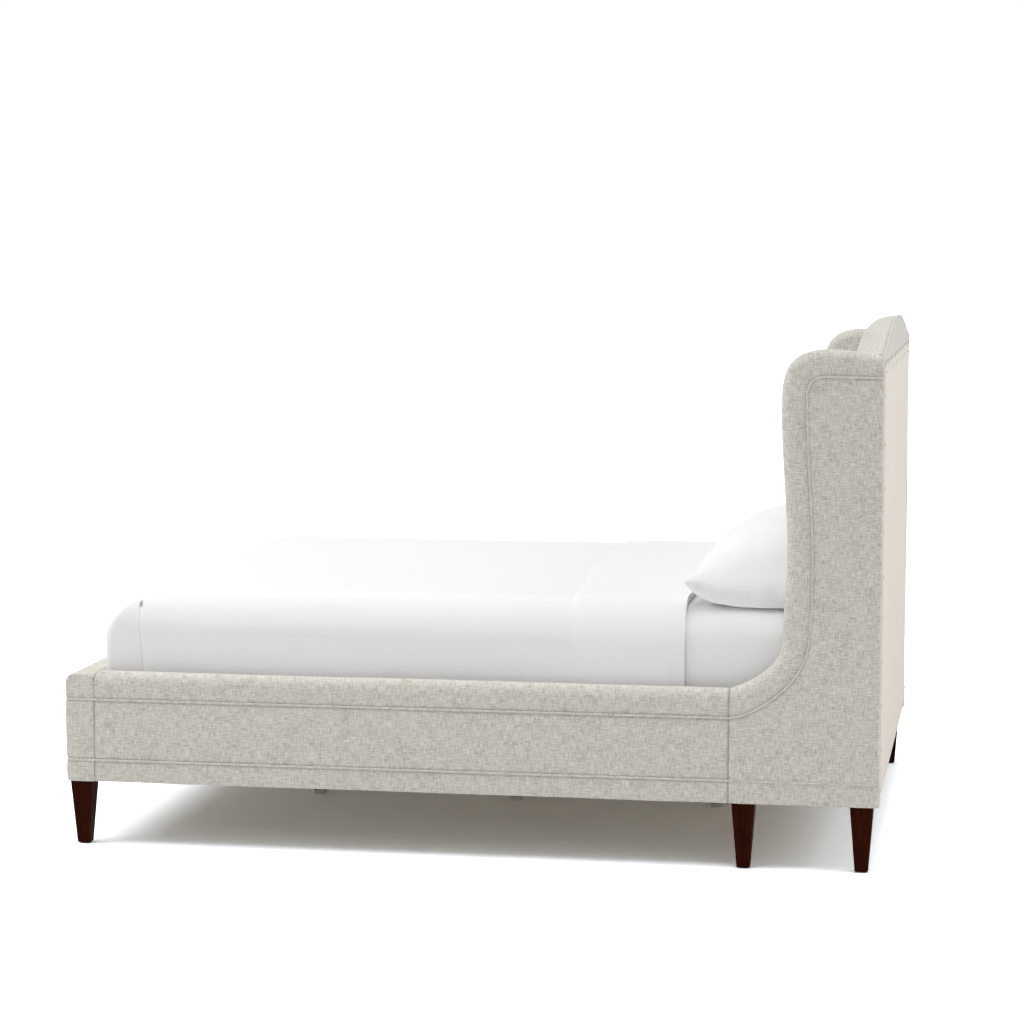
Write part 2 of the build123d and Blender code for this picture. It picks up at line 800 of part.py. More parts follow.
def pillow(side, rise):
    """A full pillow with thin seams, pointed corners and drawn-in sides."""
    half_length = (mattress_width / 2 - pillow_gap / 2 - pillow_side_gap) / 2
    half_width = pillow_width / 2
    x_centre = side * (pillow_gap / 2 + half_length)
    y_centre = y_head - pillow_head_gap - half_width
    z_seam = z_sheet + body_gap + pillow_drop
    rows = [(-x, w, f) for x, w, f in reversed(pillow_section_shares[1:])]
    sections = []
    for x_share, width_share, full_share in [*rows, *pillow_section_shares]:
        x = x_centre + x_share * half_length
        up, down = full_share * rise, full_share * pillow_drop
        sections.append(pillow_section(x, y_centre, z_seam, width_share * half_width, up, down))
    shape = loft(sections)
    bow = (half_width**2 + pillow_draw_in**2) / (2 * pillow_draw_in)
    for end in (-1, 1):
        x = x_centre + end * (half_length - pillow_draw_in + bow)
        shape -= Pos(x, y_centre, z_seam) * Cylinder(bow, 2 * (pillow_drop + rise))
    return shape


def make_pillows():
    """The two pillows."""
    save(pillow(1, pillow_rise_right), "pillow_right")
    save(pillow(-1, pillow_rise_left), "pillow_left")


if __name__ == "__main__":
    os.makedirs("parts", exist_ok=True)
    make_legs()
    make_joints()
    make_rails()
    make_footboard()
    make_headboard()
    make_back()
    make_wings()
    make_welts()
    make_deck()
    make_bedding()
    make_pillows()
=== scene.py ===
import json
from math import asin, cos, hypot, pi, radians, sin

import bmesh
import bpy
from mathutils import Matrix, Vector, noise


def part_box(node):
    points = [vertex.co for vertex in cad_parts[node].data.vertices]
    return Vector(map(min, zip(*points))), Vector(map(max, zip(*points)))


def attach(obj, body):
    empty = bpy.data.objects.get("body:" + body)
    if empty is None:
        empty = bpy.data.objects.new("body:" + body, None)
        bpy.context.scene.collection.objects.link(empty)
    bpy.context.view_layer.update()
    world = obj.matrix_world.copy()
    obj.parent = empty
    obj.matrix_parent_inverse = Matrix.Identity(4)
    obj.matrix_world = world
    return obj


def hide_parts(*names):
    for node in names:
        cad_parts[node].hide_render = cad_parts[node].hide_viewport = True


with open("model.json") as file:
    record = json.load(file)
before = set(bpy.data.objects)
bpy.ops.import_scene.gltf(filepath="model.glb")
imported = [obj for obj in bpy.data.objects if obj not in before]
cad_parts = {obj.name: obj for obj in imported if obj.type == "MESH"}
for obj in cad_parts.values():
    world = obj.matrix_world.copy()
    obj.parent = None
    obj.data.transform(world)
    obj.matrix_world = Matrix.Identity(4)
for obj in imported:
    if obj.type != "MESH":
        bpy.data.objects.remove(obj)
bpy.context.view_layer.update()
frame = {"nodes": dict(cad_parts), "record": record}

# Metres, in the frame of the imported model: +Y is the head of the bed, +X the side that the photo shows.

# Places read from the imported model
rail_low, rail_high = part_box("rail_cover_right")
foot_low, foot_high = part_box("footboard_cover")
_, wing_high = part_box("wing_cover_right")
head_low, head_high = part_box("headboard_cover")
back_low, back_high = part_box("back_muslin")
sheet_low, sheet_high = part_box("fitted_sheet")
cover_low, cover_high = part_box("coverlet")
band_low, band_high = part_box("coverlet_turn_down")

x_side, x_inner = rail_high.x, rail_low.x
y_foot_inner, y_seam = rail_low.y, rail_high.y
y_front, y_head = foot_low.y, head_low.y
y_frame_back, y_back = head_high.y, back_high.y
z_base, z_rail, z_foot = rail_low.z, rail_high.z, foot_high.z
z_lip, z_crown, z_crest = head_low.z, head_high.z, wing_high.z
x_board = head_high.x
z_border = back_high.z

# Sizes of the upholstery
side_round = 0.027
foot_round = 0.021
rail_end_round = 0.022
head_round = 0.055
head_roll = 0.074
z_welt_low, z_welt_high = 0.238, 0.406
welt_radius = 0.0031
seam_tuck = 0.0022
seam_run = 0.0035


# Mesh building


class Patch:
    """A grid of points, where each lies on the flat cloth in metres, and how much painted shade lies there
    at a seam or groove, 0 to 1.

    The places on the cloth are rows of (u, v), or two letters for the axes of the points that give them.
    """

    def __init__(self, points, coords, dark=None):
        self.points = points
        if isinstance(coords, str):
            u, v = coords
            coords = [[(getattr(p, u), getattr(p, v)) for p in row] for row in points]
        self.coords = coords
        self.dark = dark or [[0.0] * len(row) for row in points]


def build(name, patches, merge=0.00002, smooth_angle=40):
    """One mesh from several patches, sewn where their edges meet."""
    mesh = bmesh.new()
    uv = mesh.loops.layers.uv.new("cloth")
    # Painted shade per point, for seams and the grooves by welts; the materials darken the cloth by it.
    seam = mesh.verts.layers.float.new("seam")
    for patch in patches:
        verts = [[mesh.verts.new(p) for p in row] for row in patch.points]
        for row, values in zip(verts, patch.dark):
            for vert, value in zip(row, values):
                vert[seam] = value
        for i in range(len(verts) - 1):
            for j in range(len(verts[0]) - 1):
                corners = ((i, j), (i + 1, j), (i + 1, j + 1), (i, j + 1))
                quad = [verts[a][b] for a, b in corners]
                if len({tuple(v.co) for v in quad}) < 3:
                    continue
                try:
                    face = mesh.faces.new(quad)
                except ValueError:
                    continue
                for loop, (a, b) in zip(face.loops, corners):
                    loop[uv].uv = patch.coords[a][b]
    bmesh.ops.remove_doubles(mesh, verts=mesh.verts, dist=merge)
    bmesh.ops.recalc_face_normals(mesh, faces=mesh.faces)
    data = bpy.data.meshes.new(name)
    mesh.to_mesh(data)
    mesh.free()
    data.shade_smooth()
    data.set_sharp_from_angle(angle=radians(smooth_angle))
    obj = bpy.data.objects.new(name, data)
    bpy.context.scene.collection.objects.link(obj)
    return obj


def mirrored(obj, name):
    """The same piece on the other side of the bed."""
    mesh = bmesh.new()
    mesh.from_mesh(obj.data)
    bmesh.ops.scale(mesh, vec=(-1, 1, 1), verts=mesh.verts)
    bmesh.ops.reverse_faces(mesh, faces=mesh.faces)
    data = bpy.data.meshes.new(name)
    mesh.to_mesh(data)
    mesh.free()
    data.shade_smooth()
    other = bpy.data.objects.new(name, data)
    bpy.context.scene.collection.objects.link(other)
    return other


def ripple(obj, height, length, stretch=(1, 1, 1), seed=0.0, mask=None):
    """Low waves of padded cloth: moves points along their normals by smooth noise."""
    shift = Vector((seed, 2.3 * seed, 5.7 * seed))
    moves = []
    for vert in obj.data.vertices:
        place = Vector(c * s / length for c, s in zip(vert.co, stretch))
        amount = height * noise.noise(place + shift)
        if mask:
            amount *= mask(vert.co)
        moves.append(vert.normal * amount)
    for vert, move in zip(obj.data.vertices, moves):
        vert.co += move
    obj.data.update()


def smooth_step(value, low, high):
    """0 below low, 1 above high, smooth between."""
    t = min(1, max(0, (value - low) / (high - low)))
    return t * t * (3 - 2 * t)


def spread(low, high, step):
    """Evenly spaced values from low to high, about step apart."""
    count = max(1, round(abs(high - low) / step))
    return [low + (high - low) * i / count for i in range(count + 1)]


def running_length(points):
    """Distance along a row of points."""
    total, result = 0.0, [0.0]
    for a, b in zip(points, points[1:]):
        total += (b - a).length
        result.append(total)
    return result


def arc(centre, radius, start, end, steps):
    """Points of an arc in a plane, angles in degrees."""
    angles = [radians(start + (end - start) * k / steps) for k in range(steps + 1)]
    return [(centre[0] + radius * cos(a), centre[1] + radius * sin(a)) for a in angles]


def curve_path(points, step):
    """Points spaced evenly along a row of points."""
    lengths = running_length(points)
    count = max(2, round(lengths[-1] / step))
    result, k = [], 0
    for i in range(count + 1):
        want = lengths[-1] * i / count
        while k < len(points) - 2 and lengths[k + 1] < want:
            k += 1
        span = lengths[k + 1] - lengths[k]
        t = (want - lengths[k]) / span if span else 0
        result.append(points[k].lerp(points[k + 1], min(1, max(0, t))))
    return result


cord_sides = 10


def make_cord(name, line, seed, step=0.008):
    """A welt along a line of points, with a slightly uneven girth and closed ends."""
    path = curve_path(line, step)
    rows, coords = [], []
    lengths = running_length(path)
    for i, point in enumerate(path):
        before, after = path[max(0, i - 1)], path[min(len(path) - 1, i + 1)]
        along = (after - before).normalized()
        side = along.cross(Vector((1, 0, 0)))
        if side.length < 0.3:
            side = along.cross(Vector((0, 0, 1)))
        side.normalize()
        up = side.cross(along)
        girth = welt_radius * (1 + 0.10 * noise.noise(Vector((lengths[i] * 60, seed, 0))))
        row, places = [], []
        for k in range(cord_sides + 1):
            angle = 2 * pi * (k % cord_sides) / cord_sides
            row.append(point + (side * cos(angle) + up * sin(angle)) * girth)
            round_it = 2 * pi * welt_radius * k / cord_sides
            places.append((lengths[i] + 0.002 * k / cord_sides, round_it + seed))
        rows.append(row)
        coords.append(places)
    ends = [[path[0]] * (cord_sides + 1), [path[-1]] * (cord_sides + 1)]
    rows = [ends[0], *rows, ends[1]]
    coords = [coords[0], *coords, coords[-1]]
    return build(name, [Patch(rows, coords)])


# Cloth faces that bulge between two seams


def bulge(value, low, high, height):
    """Height of padding between two seams at a place across them."""
    if not low < value < high:
        return 0.0
    t = (value - low) / (high - low)
    return height * (1 - (2 * t - 1) ** 4)


groove_run = 0.0042
groove_depth = 0.0016
near_welt = (-0.0100, -0.0068, -0.0042, -0.0020, 0.0020, 0.0042, 0.0068, 0.0100)


def groove(distance):
    """Depth of the stitched groove beside a welt, at a distance from it."""
    return groove_depth * (1 - smooth_step(abs(distance), groove_run, 2.2 * groove_run))


def shade(distance):
    """How much painted shade lies in the stitched groove at a distance from the welt."""
    return 0.45 * (1 - smooth_step(abs(distance), groove_run, 1.6 * groove_run))


def face_profile(z):
    """How far the outer face of rails and footboard stands out at a height."""
    full = bulge(z, z_base, z_welt_low, 0.0012)
    full += bulge(z, z_welt_low, z_welt_high, 0.0018)
    full += bulge(z, z_welt_high, z_rail + side_round, 0.0012)
    return full - 0.0004 - groove(z - z_welt_low) - groove(z - z_welt_high)


def face_shade(z):
    """How much painted shade lies on the outer face at a height, in the grooves by the welts."""
    return max(shade(z - z_welt_low), shade(z - z_welt_high))


def face_heights(top):
    """Heights up an outer face, closer together at the welts."""
    values = [z_base, z_base + 0.003, z_base + 0.012]
    values += spread(z_base + 0.022, z_welt_low - 0.010, 0.012)
    values += [z_welt_low + d for d in near_welt]
    values += spread(z_welt_low + 0.012, z_welt_high - 0.012, 0.013)
    values += [z_welt_high + d for d in near_welt]
    values += spread(z_welt_high + 0.012, top, 0.012)
    return values


# Side rails


def rail_ring():
    """Section of a padded rail as (x, z), from its lower outer edge up and over to its inner lip."""
    ring = [(x_side - 0.016, z_base), (x_side - 0.006, z_base)]
    for z in face_heights(z_rail - side_round):
        ring.append((x_side + face_profile(z), z))
    centre_out = (x_side - side_round, z_rail - side_round)
    centre_in = (x_inner + side_round, z_rail - side_round)
    ring += arc(centre_out, side_round, 8, 90, 9)
    ring += arc(centre_in, side_round, 90, 180, 9)
    for z in spread(z_rail - side_round - 0.008, z_lip + 0.004, 0.012):
        ring.append((x_inner, z))
    ring += [(x_inner + 0.001, z_lip + 0.001), (x_inner + 0.004, z_lip), (x_board, z_lip)]
    ring += [(x_board, z_base), (x_side - 0.016, z_base)]
    return ring


def make_rail():
    """Padded cover of the +X rail."""
    ring = rail_ring()
    ys = [y_foot_inner + d for d in (0.0004, 0.0014, 0.0035, 0.007, 0.011, 0.016, 0.023)]
    ys += spread(y_foot_inner + 0.035, y_seam - 0.020, 0.018)
    ys += [y_seam - d for d in (0.010, 0.0035, 0.0012, 0.0002)]
    points, coords, dark = [], [], []
    middle = (x_side + x_inner) / 2
    top = z_rail - side_round
    around = running_length([Vector((x, 0, z)) for x, z in ring])
    for y in ys:
        from_foot, from_seam = y - y_foot_inner, y_seam - y
        drop = 0.0
        if from_foot < rail_end_round:
            drop = rail_end_round - (rail_end_round**2 - (rail_end_round - from_foot) ** 2) ** 0.5
        tuck = seam_tuck * (1 - smooth_step(min(from_foot, from_seam), 0, seam_run))
        row = []
        for x, z in ring:
            high = top + (z - top) * (side_round - drop) / side_round if z > top else z
            inward = -1 if x > middle else 1
            low_tuck = 0 if z > z_base + 0.001 else tuck
            row.append(Vector((x + inward * tuck * 0.9, y, high + low_tuck)))
        points.append(row)
        coords.append([(y, s) for s in around])
        # Painted shade in the seams at both ends of the rail, and in the grooves by the welts.
        end = 1 - smooth_step(min(from_foot, from_seam), 0.0008, 0.0055)
        dark.append([max(end, face_shade(z) if x > middle else 0) for x, z in ring])
    ends = []
    for k in (0, -1):
        hub = [Vector((middle, ys[k], p.z)) for p in points[k]]
        ends.append(Patch([points[k], hub], [coords[k], coords[k]]))
    obj = build("rail_upholstery_right", [Patch(points, coords, dark), *ends])
    ripple(obj, height=0.0012, length=0.16, stretch=(1, 1, 1.6), seed=3.1)
    ripple(
        obj, height=0.0011, length=0.045, stretch=(1, 0.8, 0.5), seed=7.7,
        mask=lambda p: smooth_step(p.z, 0.44, 0.475),
    )
    return obj


# Footboard


end_shares = (0.0, 0.035, 0.09, 0.17, 0.28, 0.4, 0.5, 0.6, 0.72, 0.83, 0.91, 0.965, 1.0)
foot_corner = 0.0040
foot_fullness = 0.0024
end_fullness = 0.0024


def foot_levels():
    """Front and inner edge of the footboard's section at rising heights, as (y front, y inner, z)."""
    rows = [(y_front, y_foot_inner, z) for z in face_heights(z_foot - foot_round)]
    for y, z in arc((foot_round, z_foot - foot_round), foot_round, 172, 90, 8):
        rows.append((y_front + y, y_foot_inner - y, z))
    return rows


def make_footboard():
    """Padded cover of the footboard, boxed at both ends."""
    rows = foot_levels()
    count, inside = len(rows), len(end_shares) - 2
    top_front, top_inner, top = rows[-1]
    ring = []
    for y, _, z in rows:
        full = foot_fullness * smooth_step(z, z_base, z_base + 0.03) * smooth_step(z_foot - z, 0.0, 0.03)
        ring.append((y - full - (face_profile(z) if y == y_front else 0), z))
    ring += [(top_front + (top_inner - top_front) * share, top) for share in end_shares[1:-1]]
    ring += [(y, z) for _, y, z in reversed(rows)]
    ring += [(y_foot_inner + (y_front - y_foot_inner) * share, z_base) for share in end_shares[1:-1]]
    ring.append(ring[0])
    edge = x_side - foot_corner
    turns = ((0.0, 1.0), (0.134, 0.5), (0.293, 0.293), (0.5, 0.134), (1.0, 0.0))
    corner = [(-x_side + inward * foot_corner, tuck * foot_corner) for inward, tuck in turns]
    order = corner + [(x, 0.0) for x in spread(-edge + 0.016, edge - 0.016, 0.024)]
    order += [(-x, tuck) for x, tuck in reversed(corner)]
    middle = (y_front + y_foot_inner) / 2
    around = running_length([Vector((0, y, z)) for y, z in ring])
    points, coords, dark = [], [], []
    for x, tuck in order:
        row = []
        for y, z in ring:
            over = smooth_step(z, z_foot - foot_round, z_foot - 0.2 * foot_round)
            aside = (0.5 if y > middle else -1) * tuck * (1 - over) * min(1, abs(y - middle) / 0.02)
            row.append(Vector((x, y - aside, z - tuck * over)))
        points.append(row)
        coords.append([(x, along) for along in around])
        # Painted shade in the grooves by the welts along the front.
        dark.append([face_shade(z) if y < middle - 0.02 else 0 for y, z in ring])
    patches = [Patch(points, coords, dark)]
    for rim, side in ((points[0], -1), (points[-1], 1)):
        grid = []
        for i in range(count):
            front, back = rim[i], rim[2 * count + inside - 1 - i]
            row = []
            for share in end_shares:
                q = front.lerp(back, share)
                if 0 < share < 1:
                    arched = 1 - abs(2 * share - 1) ** 4
                    out = end_fullness * arched * smooth_step(z_foot - q.z, 0.002, 0.05)
                    q.x = side * (x_side + out - groove(q.z - z_welt_low) - groove(q.z - z_welt_high))
                row.append(q)
            grid.append(row)
        grid[0] = [rim[-1 - i] for i in range(len(end_shares))]
        grid[-1] = [rim[count - 1 + i] for i in range(len(end_shares))]
        # Painted shade in the grooves by the welts on the boxed end.
        patches.append(Patch(grid, "yz", [[face_shade(p.z) for p in row] for row in grid]))
    obj = build("footboard_upholstery", patches)
    ripple(obj, height=0.0012, length=0.15, stretch=(1, 1, 1.4), seed=11.3)
    return obj


# Wings

# The outline and the welt line are chains of smooth spans through the same key points as the packed
# part's. A key point is (share of the wing's depth, share of its height, direction in degrees).
wing_depth = 0.265
wing_edge = (
    (1.087, 0.069, 43),
    (0.966, 0.149, 90),
    (0.932, 0.374, 90),
    (1.000, 0.839, 90),
    (0.890, 0.966, 45),
    (0.543, 1.000, 0),
    (0.000, 0.983, -6),
)
wing_welt = (
    (0.997, -0.0110, 40),
    (0.706, 0.1330, 82),
    (0.672, 0.3630, 90),
    (0.741, 0.8500, 90),
    (0.699, 0.9070, 45),
    (0.560, 0.9210, 0),
    (0.000, 0.9190, -1),
)
span_steps = (14, 14, 16, 30, 12, 12, 16)
edge_angle, welt_angle = 17, 5
back_turn = 0.004
y_turn = 0.60
z_outer_top, z_inner_top = 1.290, 1.300
roll_steps, face_steps, inner_steps = 18, 26, 14
edge_shares = (0.12, 0.3, 0.5, 0.7, 0.86)
welt_fullness, face_fullness = 0.0014, 0.0016
rear_wraps = ((0.0008, 0.0022), (0.0026, 0.0042), (0.0060, 0.0050))
hem_width = 0.012


def wing_line(rows, z_start, angle_start):
    """Points (y, z) and directions along a wing line."""
    keys = [(y_seam, z_start, angle_start)]
    for depth_share, height_share, angle in rows:
        y = y_frame_back - depth_share * wing_depth
        keys.append((y, z_rail + height_share * (z_crest - z_rail), angle))
    keys[-1] = (y_frame_back - back_turn, keys[-1][1], keys[-1][2])
    places, ways = [], []
    spans = list(zip(keys, keys[1:], span_steps))
    for i, ((y0, z0, a0), (y1, z1, a1), steps) in enumerate(spans):
        chord = hypot(y1 - y0, z1 - z0)
        p0, p1 = Vector((y0, z0)), Vector((y1, z1))
        t0 = Vector((cos(radians(a0)), sin(radians(a0)))) * chord
        t1 = Vector((cos(radians(a1)), sin(radians(a1)))) * chord
        for k in range(steps + (i == len(spans) - 1)):
            s = k / steps
            h = (2 * s**3 - 3 * s**2 + 1, s**3 - 2 * s**2 + s, 3 * s**2 - 2 * s**3, s**3 - s**2)
            g = (6 * s**2 - 6 * s, 3 * s**2 - 4 * s + 1, 6 * s - 6 * s**2, 3 * s**2 - 2 * s)
            places.append(p0 * h[0] + t0 * h[1] + p1 * h[2] + t1 * h[3])
            ways.append((p0 * g[0] + t0 * g[1] + p1 * g[2] + t1 * g[3]).normalized())
    return places, ways


def wing_base(index, count, first, y_rear, z_low, z_high):
    """Where a row from the outline ends: along the bottom, then up the rear."""
    if index < first:
        return Vector((y_seam + (y_rear - y_seam) * index / first, z_low))
    return Vector((y_rear, z_low + (z_high - z_low) * (index - first) / (count - 1 - first)))


def wing_inward(ways):
    """Direction into the cloth at each point of the edge, turned straight down at both ends."""
    slanted, down = Vector((0, -1 / cos(radians(edge_angle)))), Vector((0, -1))
    result = []
    for i, way in enumerate(ways):
        normal = slanted.lerp(Vector((way.y, -way.x)), smooth_step(i, 0, 8))
        result.append(down.lerp(normal, smooth_step(len(ways) - 1 - i, 0, 6)))
    return result


def wing_outer(place, into, welt, base):
    """A row of the cover: over the rolled edge from inside, past the welt, then to its base."""
    middle, half = (x_side + x_inner) / 2, (x_side - x_inner) / 2
    flat_edge = place + into * side_round
    row, coords = [], []
    for k in range(roll_steps, -1, -1):
        angle = pi * k / roll_steps
        q = place + into * side_round * (1 - sin(angle))
        row.append(Vector((middle + half * cos(angle), *q)))
        coords.append(tuple(flat_edge - into.normalized() * (side_round + 0.001) * angle))
    shades = [0.0] * (len(row) + len(edge_shares))
    to_welt, to_base = (welt - flat_edge).normalized(), (base - welt).normalized()
    for share in edge_shares:
        q = flat_edge.lerp(welt + to_welt * near_welt[0], share)
        row.append(Vector((x_side + bulge(share, 0, 1, welt_fullness), *q)))
    # Painted shade in the grooves beside the welts.
    for d in near_welt:
        q = welt + (to_welt if d < 0 else to_base) * d
        row.append(Vector((x_side - groove(d), *q)))
        shades.append(shade(d))
    start = welt + to_base * near_welt[-1]
    for k in range(1, face_steps + 1):
        q = start.lerp(base, k / face_steps)
        away = min(1, (q - base).length / 0.05, (q - start).length / 0.05)
        low_welt = q.y - z_welt_low
        row.append(Vector((x_side + face_fullness * smooth_step(away, 0, 1) - groove(low_welt), *q)))
        shades.append(shade(low_welt))
    coords += [(p.y, p.z) for p in row[roll_steps + 1:]]
    return row, coords, shades


def wing_inner(flat_edge, base):
    """A row of the inner face, from the rolled edge to its base."""
    row = [Vector((x_inner, *flat_edge))]
    for k in range(1, inner_steps + 1):
        deep = face_fullness * smooth_step(min(k, inner_steps - k), 0, 3)
        row.append(Vector((x_inner - deep, *flat_edge.lerp(base, k / inner_steps))))
    return row, [(p.y + 0.7, p.z) for p in row], [0.0] * len(row)


def tuck_under(rows, coords, shades):
    """Turn the cloth under at the seam with the rail, with one more row before the first."""
    middle = (x_side + x_inner) / 2
    tucked = []
    for p in rows[0]:
        side = 1 if p.x > middle else -1
        drop = seam_tuck if p.z > z_rail - side_round else 0
        tucked.append(Vector((p.x - side * seam_tuck, y_seam + 0.0002, p.z - drop)))
        p.y = y_seam + seam_run
    # The tucked row is painted fully shaded, for the shade in the seam with the rail.
    return Patch([tucked, *rows], [coords[0], *coords], [[1.0] * len(tucked), *shades])


def wing_rear(rows, first):
    """Cloth wrapped round the wing's rear edge and in under the back border."""
    last = rows[-1]
    centre = Vector(((x_side + x_inner) / 2, 0, last[roll_steps].z))
    wrapped, coords = [], []
    for p in [row[-1] for row in rows[first + 1:]] + last[::-1][1:]:
        lean = Vector((1, 0, 0))
        if p.z > max(z_crest - 0.060, centre.z):
            lean = (Vector((p.x, 0, p.z)) - centre).normalized()
        reach = 0.0260 if lean.x < 1 else 0.0310
        steps = (*rear_wraps, (reach, rear_wraps[-1][1]))
        wrapped.append([p] + [p - lean * inward + Vector((0, back, 0)) for inward, back in steps])
        coords.append([(p.y + d, p.z) for d in (0, 0.003, 0.006, 0.010, 0.030)])
    return Patch(wrapped, coords)


def make_wing():
    """Padded cover of the +X wing."""
    edge, ways = wing_line(wing_edge, z_rail, edge_angle)
    welt, _ = wing_line(wing_welt, z_welt_high, welt_angle)
    count = len(edge)
    first = next(i for i, p in enumerate(edge) if p.y > y_turn)
    outer, inner = [], []
    for i, (place, into) in enumerate(zip(edge, wing_inward(ways))):
        base = wing_base(i, count, first, y_frame_back - back_turn, z_base, z_outer_top)
        outer.append(wing_outer(place, into, welt[i], base))
        base = wing_base(i, count, first, y_head + 0.018, z_lip, z_inner_top)
        inner.append(wing_inner(place + into * side_round, base))
    patches = [tuck_under(*zip(*outer)), tuck_under(*zip(*inner))]
    rows = patches[0].points
    hem = [row[-1] for row in rows[: first + 2]]
    turned = [p - Vector((hem_width, 0, 0)) for p in hem]
    hem_coords = [[(p.y, p.z) for p in hem], [(p.y, p.z - hem_width) for p in hem]]
    patches += [wing_rear(rows, first), Patch([hem, turned], hem_coords)]
    obj = build("wing_upholstery_right", patches)
    ripple(
        obj, height=0.0013, length=0.17, stretch=(1, 1, 0.7), seed=5.2,
        mask=lambda p: smooth_step(p.y, y_seam, y_seam + 0.03),
    )
    return obj


# Headboard

crown_bend_share = 0.645
crown_bend_height_share = 0.44
crown_end_slope = 0.055
crown_corner = 1.364
face_rows = 44
face_swell = 0.006


def crown(x):
    """Height of the crown across the bed: one arc, then a counter curve at each shoulder."""
    x = abs(x)
    bend = crown_bend_share * x_side
    rise = z_crown - crown_corner
    z_bend = crown_corner + crown_bend_height_share * rise
    sag = z_crown - z_bend
    radius = (bend**2 + sag**2) / (2 * sag)
    if x <= bend:
        return z_crown - radius + (radius**2 - x**2) ** 0.5
    end_x = x_board
    end_z = crown_corner + crown_end_slope * (x_side - end_x)
    slope = -bend / (radius**2 - bend**2) ** 0.5
    if x > end_x:
        return end_z - crown_end_slope * (x - end_x)
    run = end_x - bend
    t = (x - bend) / run
    h = (2 * t**3 - 3 * t**2 + 1, t**3 - 2 * t**2 + t, 3 * t**2 - 2 * t**3, t**3 - t**2)
    return z_bend * h[0] + slope * run * h[1] + end_z * h[2] - crown_end_slope * run * h[3]


def make_headboard():
    """Padded face and crown of the headboard."""
    xs = [-x_board + d for d in (0.0, 0.004, 0.012)]
    xs += spread(-x_board + 0.024, x_board - 0.024, 0.020)
    xs += [x_board - d for d in (0.012, 0.004, 0.0)]
    points, coords = [], []
    for x in xs:
        top = crown(x)
        swell = smooth_step(x_inner - abs(x), 0.0, 0.10)
        row = [Vector((x, y_head + 0.030, z_lip)), Vector((x, y_head + 0.004, z_lip))]
        for share in [k / face_rows for k in range(face_rows + 1)]:
            z = z_lip + 0.004 + share * (top - head_round - z_lip - 0.004)
            lift = face_swell * swell * smooth_step(z, 0.74, 0.90) * (1 - smooth_step(z, 1.05, 1.25))
            row.append(Vector((x, y_head - lift, z)))
        for y, z in arc((0, 0), 1, 172, 90, 13):
            row.append(Vector((x, y_head + head_roll * (1 + y), top - head_round * (1 - z))))
        for y in (y_head + head_roll + 0.003, y_frame_back - 0.010):
            row.append(Vector((x, y, top + 0.0006)))
        row += [Vector((x, y_frame_back - 0.004, top - 0.0004)), Vector((x, y_frame_back, top - 0.004))]
        row += [Vector((x, y_frame_back, top - 0.014))]
        points.append(row)
        along = running_length(row)
        coords.append([(x, s) for s in along])
    obj = build("headboard_upholstery", [Patch(points, coords)])
    ripple(
        obj, height=0.0022, length=0.30, seed=21.7,
        mask=lambda p: 1 - 0.75 * smooth_step(p.z, 1.1, 1.3),
    )
    ripple(
        obj, height=0.0012, length=0.10, stretch=(0.8, 1, 1), seed=24.1,
        mask=lambda p: 1 - 0.4 * smooth_step(p.z, 1.2, 1.35),
    )
    return obj


border_lap = 0.010
y_cloth = y_back - 0.0004


def make_border():
    """Border of the main cloth on the back, along the crown and down both sides."""
    x_edge = x_side - side_round
    rows = []
    for x in spread(-x_edge, x_edge, 0.018):
        top = crown(x) - 0.002
        heights = [top - (top - z_border + border_lap) * k / 8 for k in range(9)]
        rows.append([Vector((x, y_cloth - (0.001 if k == 0 else 0), z)) for k, z in enumerate(heights)])
    patches = [Patch(rows, "xz")]
    across = ((x_edge, 0.001), (x_edge - 0.004, 0), (back_high.x + 0.01, 0), (back_high.x - 0.008, 0))
    for side in (-1, 1):
        zs = spread(z_base, z_border - border_lap, 0.02)
        rows = [[Vector((side * x, y_cloth - sunk, z)) for x, sunk in across] for z in zs]
        patches.append(Patch(rows, "xz"))
    return build("back_border_cloth", patches)


def rimmed(low, high):
    """Places from rim to rim, closer together at both."""
    return [low, low + 0.0015, *spread(low + 0.01, high - 0.01, 0.018), high - 0.0015, high]


def make_muslin():
    """Muslin stapled inside the border, a little uneven between its rims."""
    low, high = back_low, back_high
    rows = []
    for x in rimmed(low.x, high.x):
        row = []
        for z in rimmed(low.z, high.z):
            rim = min(x - low.x, high.x - x, z - low.z, high.z - z)
            y = y_cloth + 0.0009 * smooth_step(rim, -0.001, 0.002)
            y += 0.0010 * smooth_step(rim, 0.01, 0.12) * noise.noise(Vector((x * 2.2, z * 1.1, 9)))
            y += 0.0004 * smooth_step(rim, 0.004, 0.03) * noise.noise(Vector((x * 24, z * 3, 4)))
            row.append(Vector((x, y, z)))
        rows.append(row)
    # Painted shade along the top edge, where the border's edge overhangs it.
    dark = [[1.0 if p.z > high.z - 0.002 else 0.0 for p in row] for row in rows]
    return build("back_muslin_cloth", [Patch(rows, "xz", dark)])


staple_half, staple_thick = 0.0044, 0.0010
staple_shares = ((-1.0, 0.3), (-0.94, 0.85), (-0.8, 1.0), (0.8, 1.0), (0.94, 0.85), (1.0, 0.3))
staple_heights = (1.247, 1.119, 1.003, 0.886, 0.770, 0.660, 0.545, 0.427, 0.310)
rail_staples, z_rail_staples = (-0.656, -0.225, 0.192, 0.630), 0.926


def staple(x, z, angle):
    """Crown of one staple, pressed into the cloth, as a small rounded bar."""
    bars = []
    for share, girth in staple_shares:
        row = []
        for k in range(7):
            turn, thick = 2 * pi * (k % 6) / 6, staple_thick * girth
            flat = Vector((share * staple_half, 0.6 * thick * cos(turn), thick * sin(turn)))
            flat.rotate(Matrix.Rotation(angle, 3, "Y"))
            row.append(Vector((x, y_back + 0.0006, z)) + flat)
        bars.append(row)
    return Patch(bars, "xz")


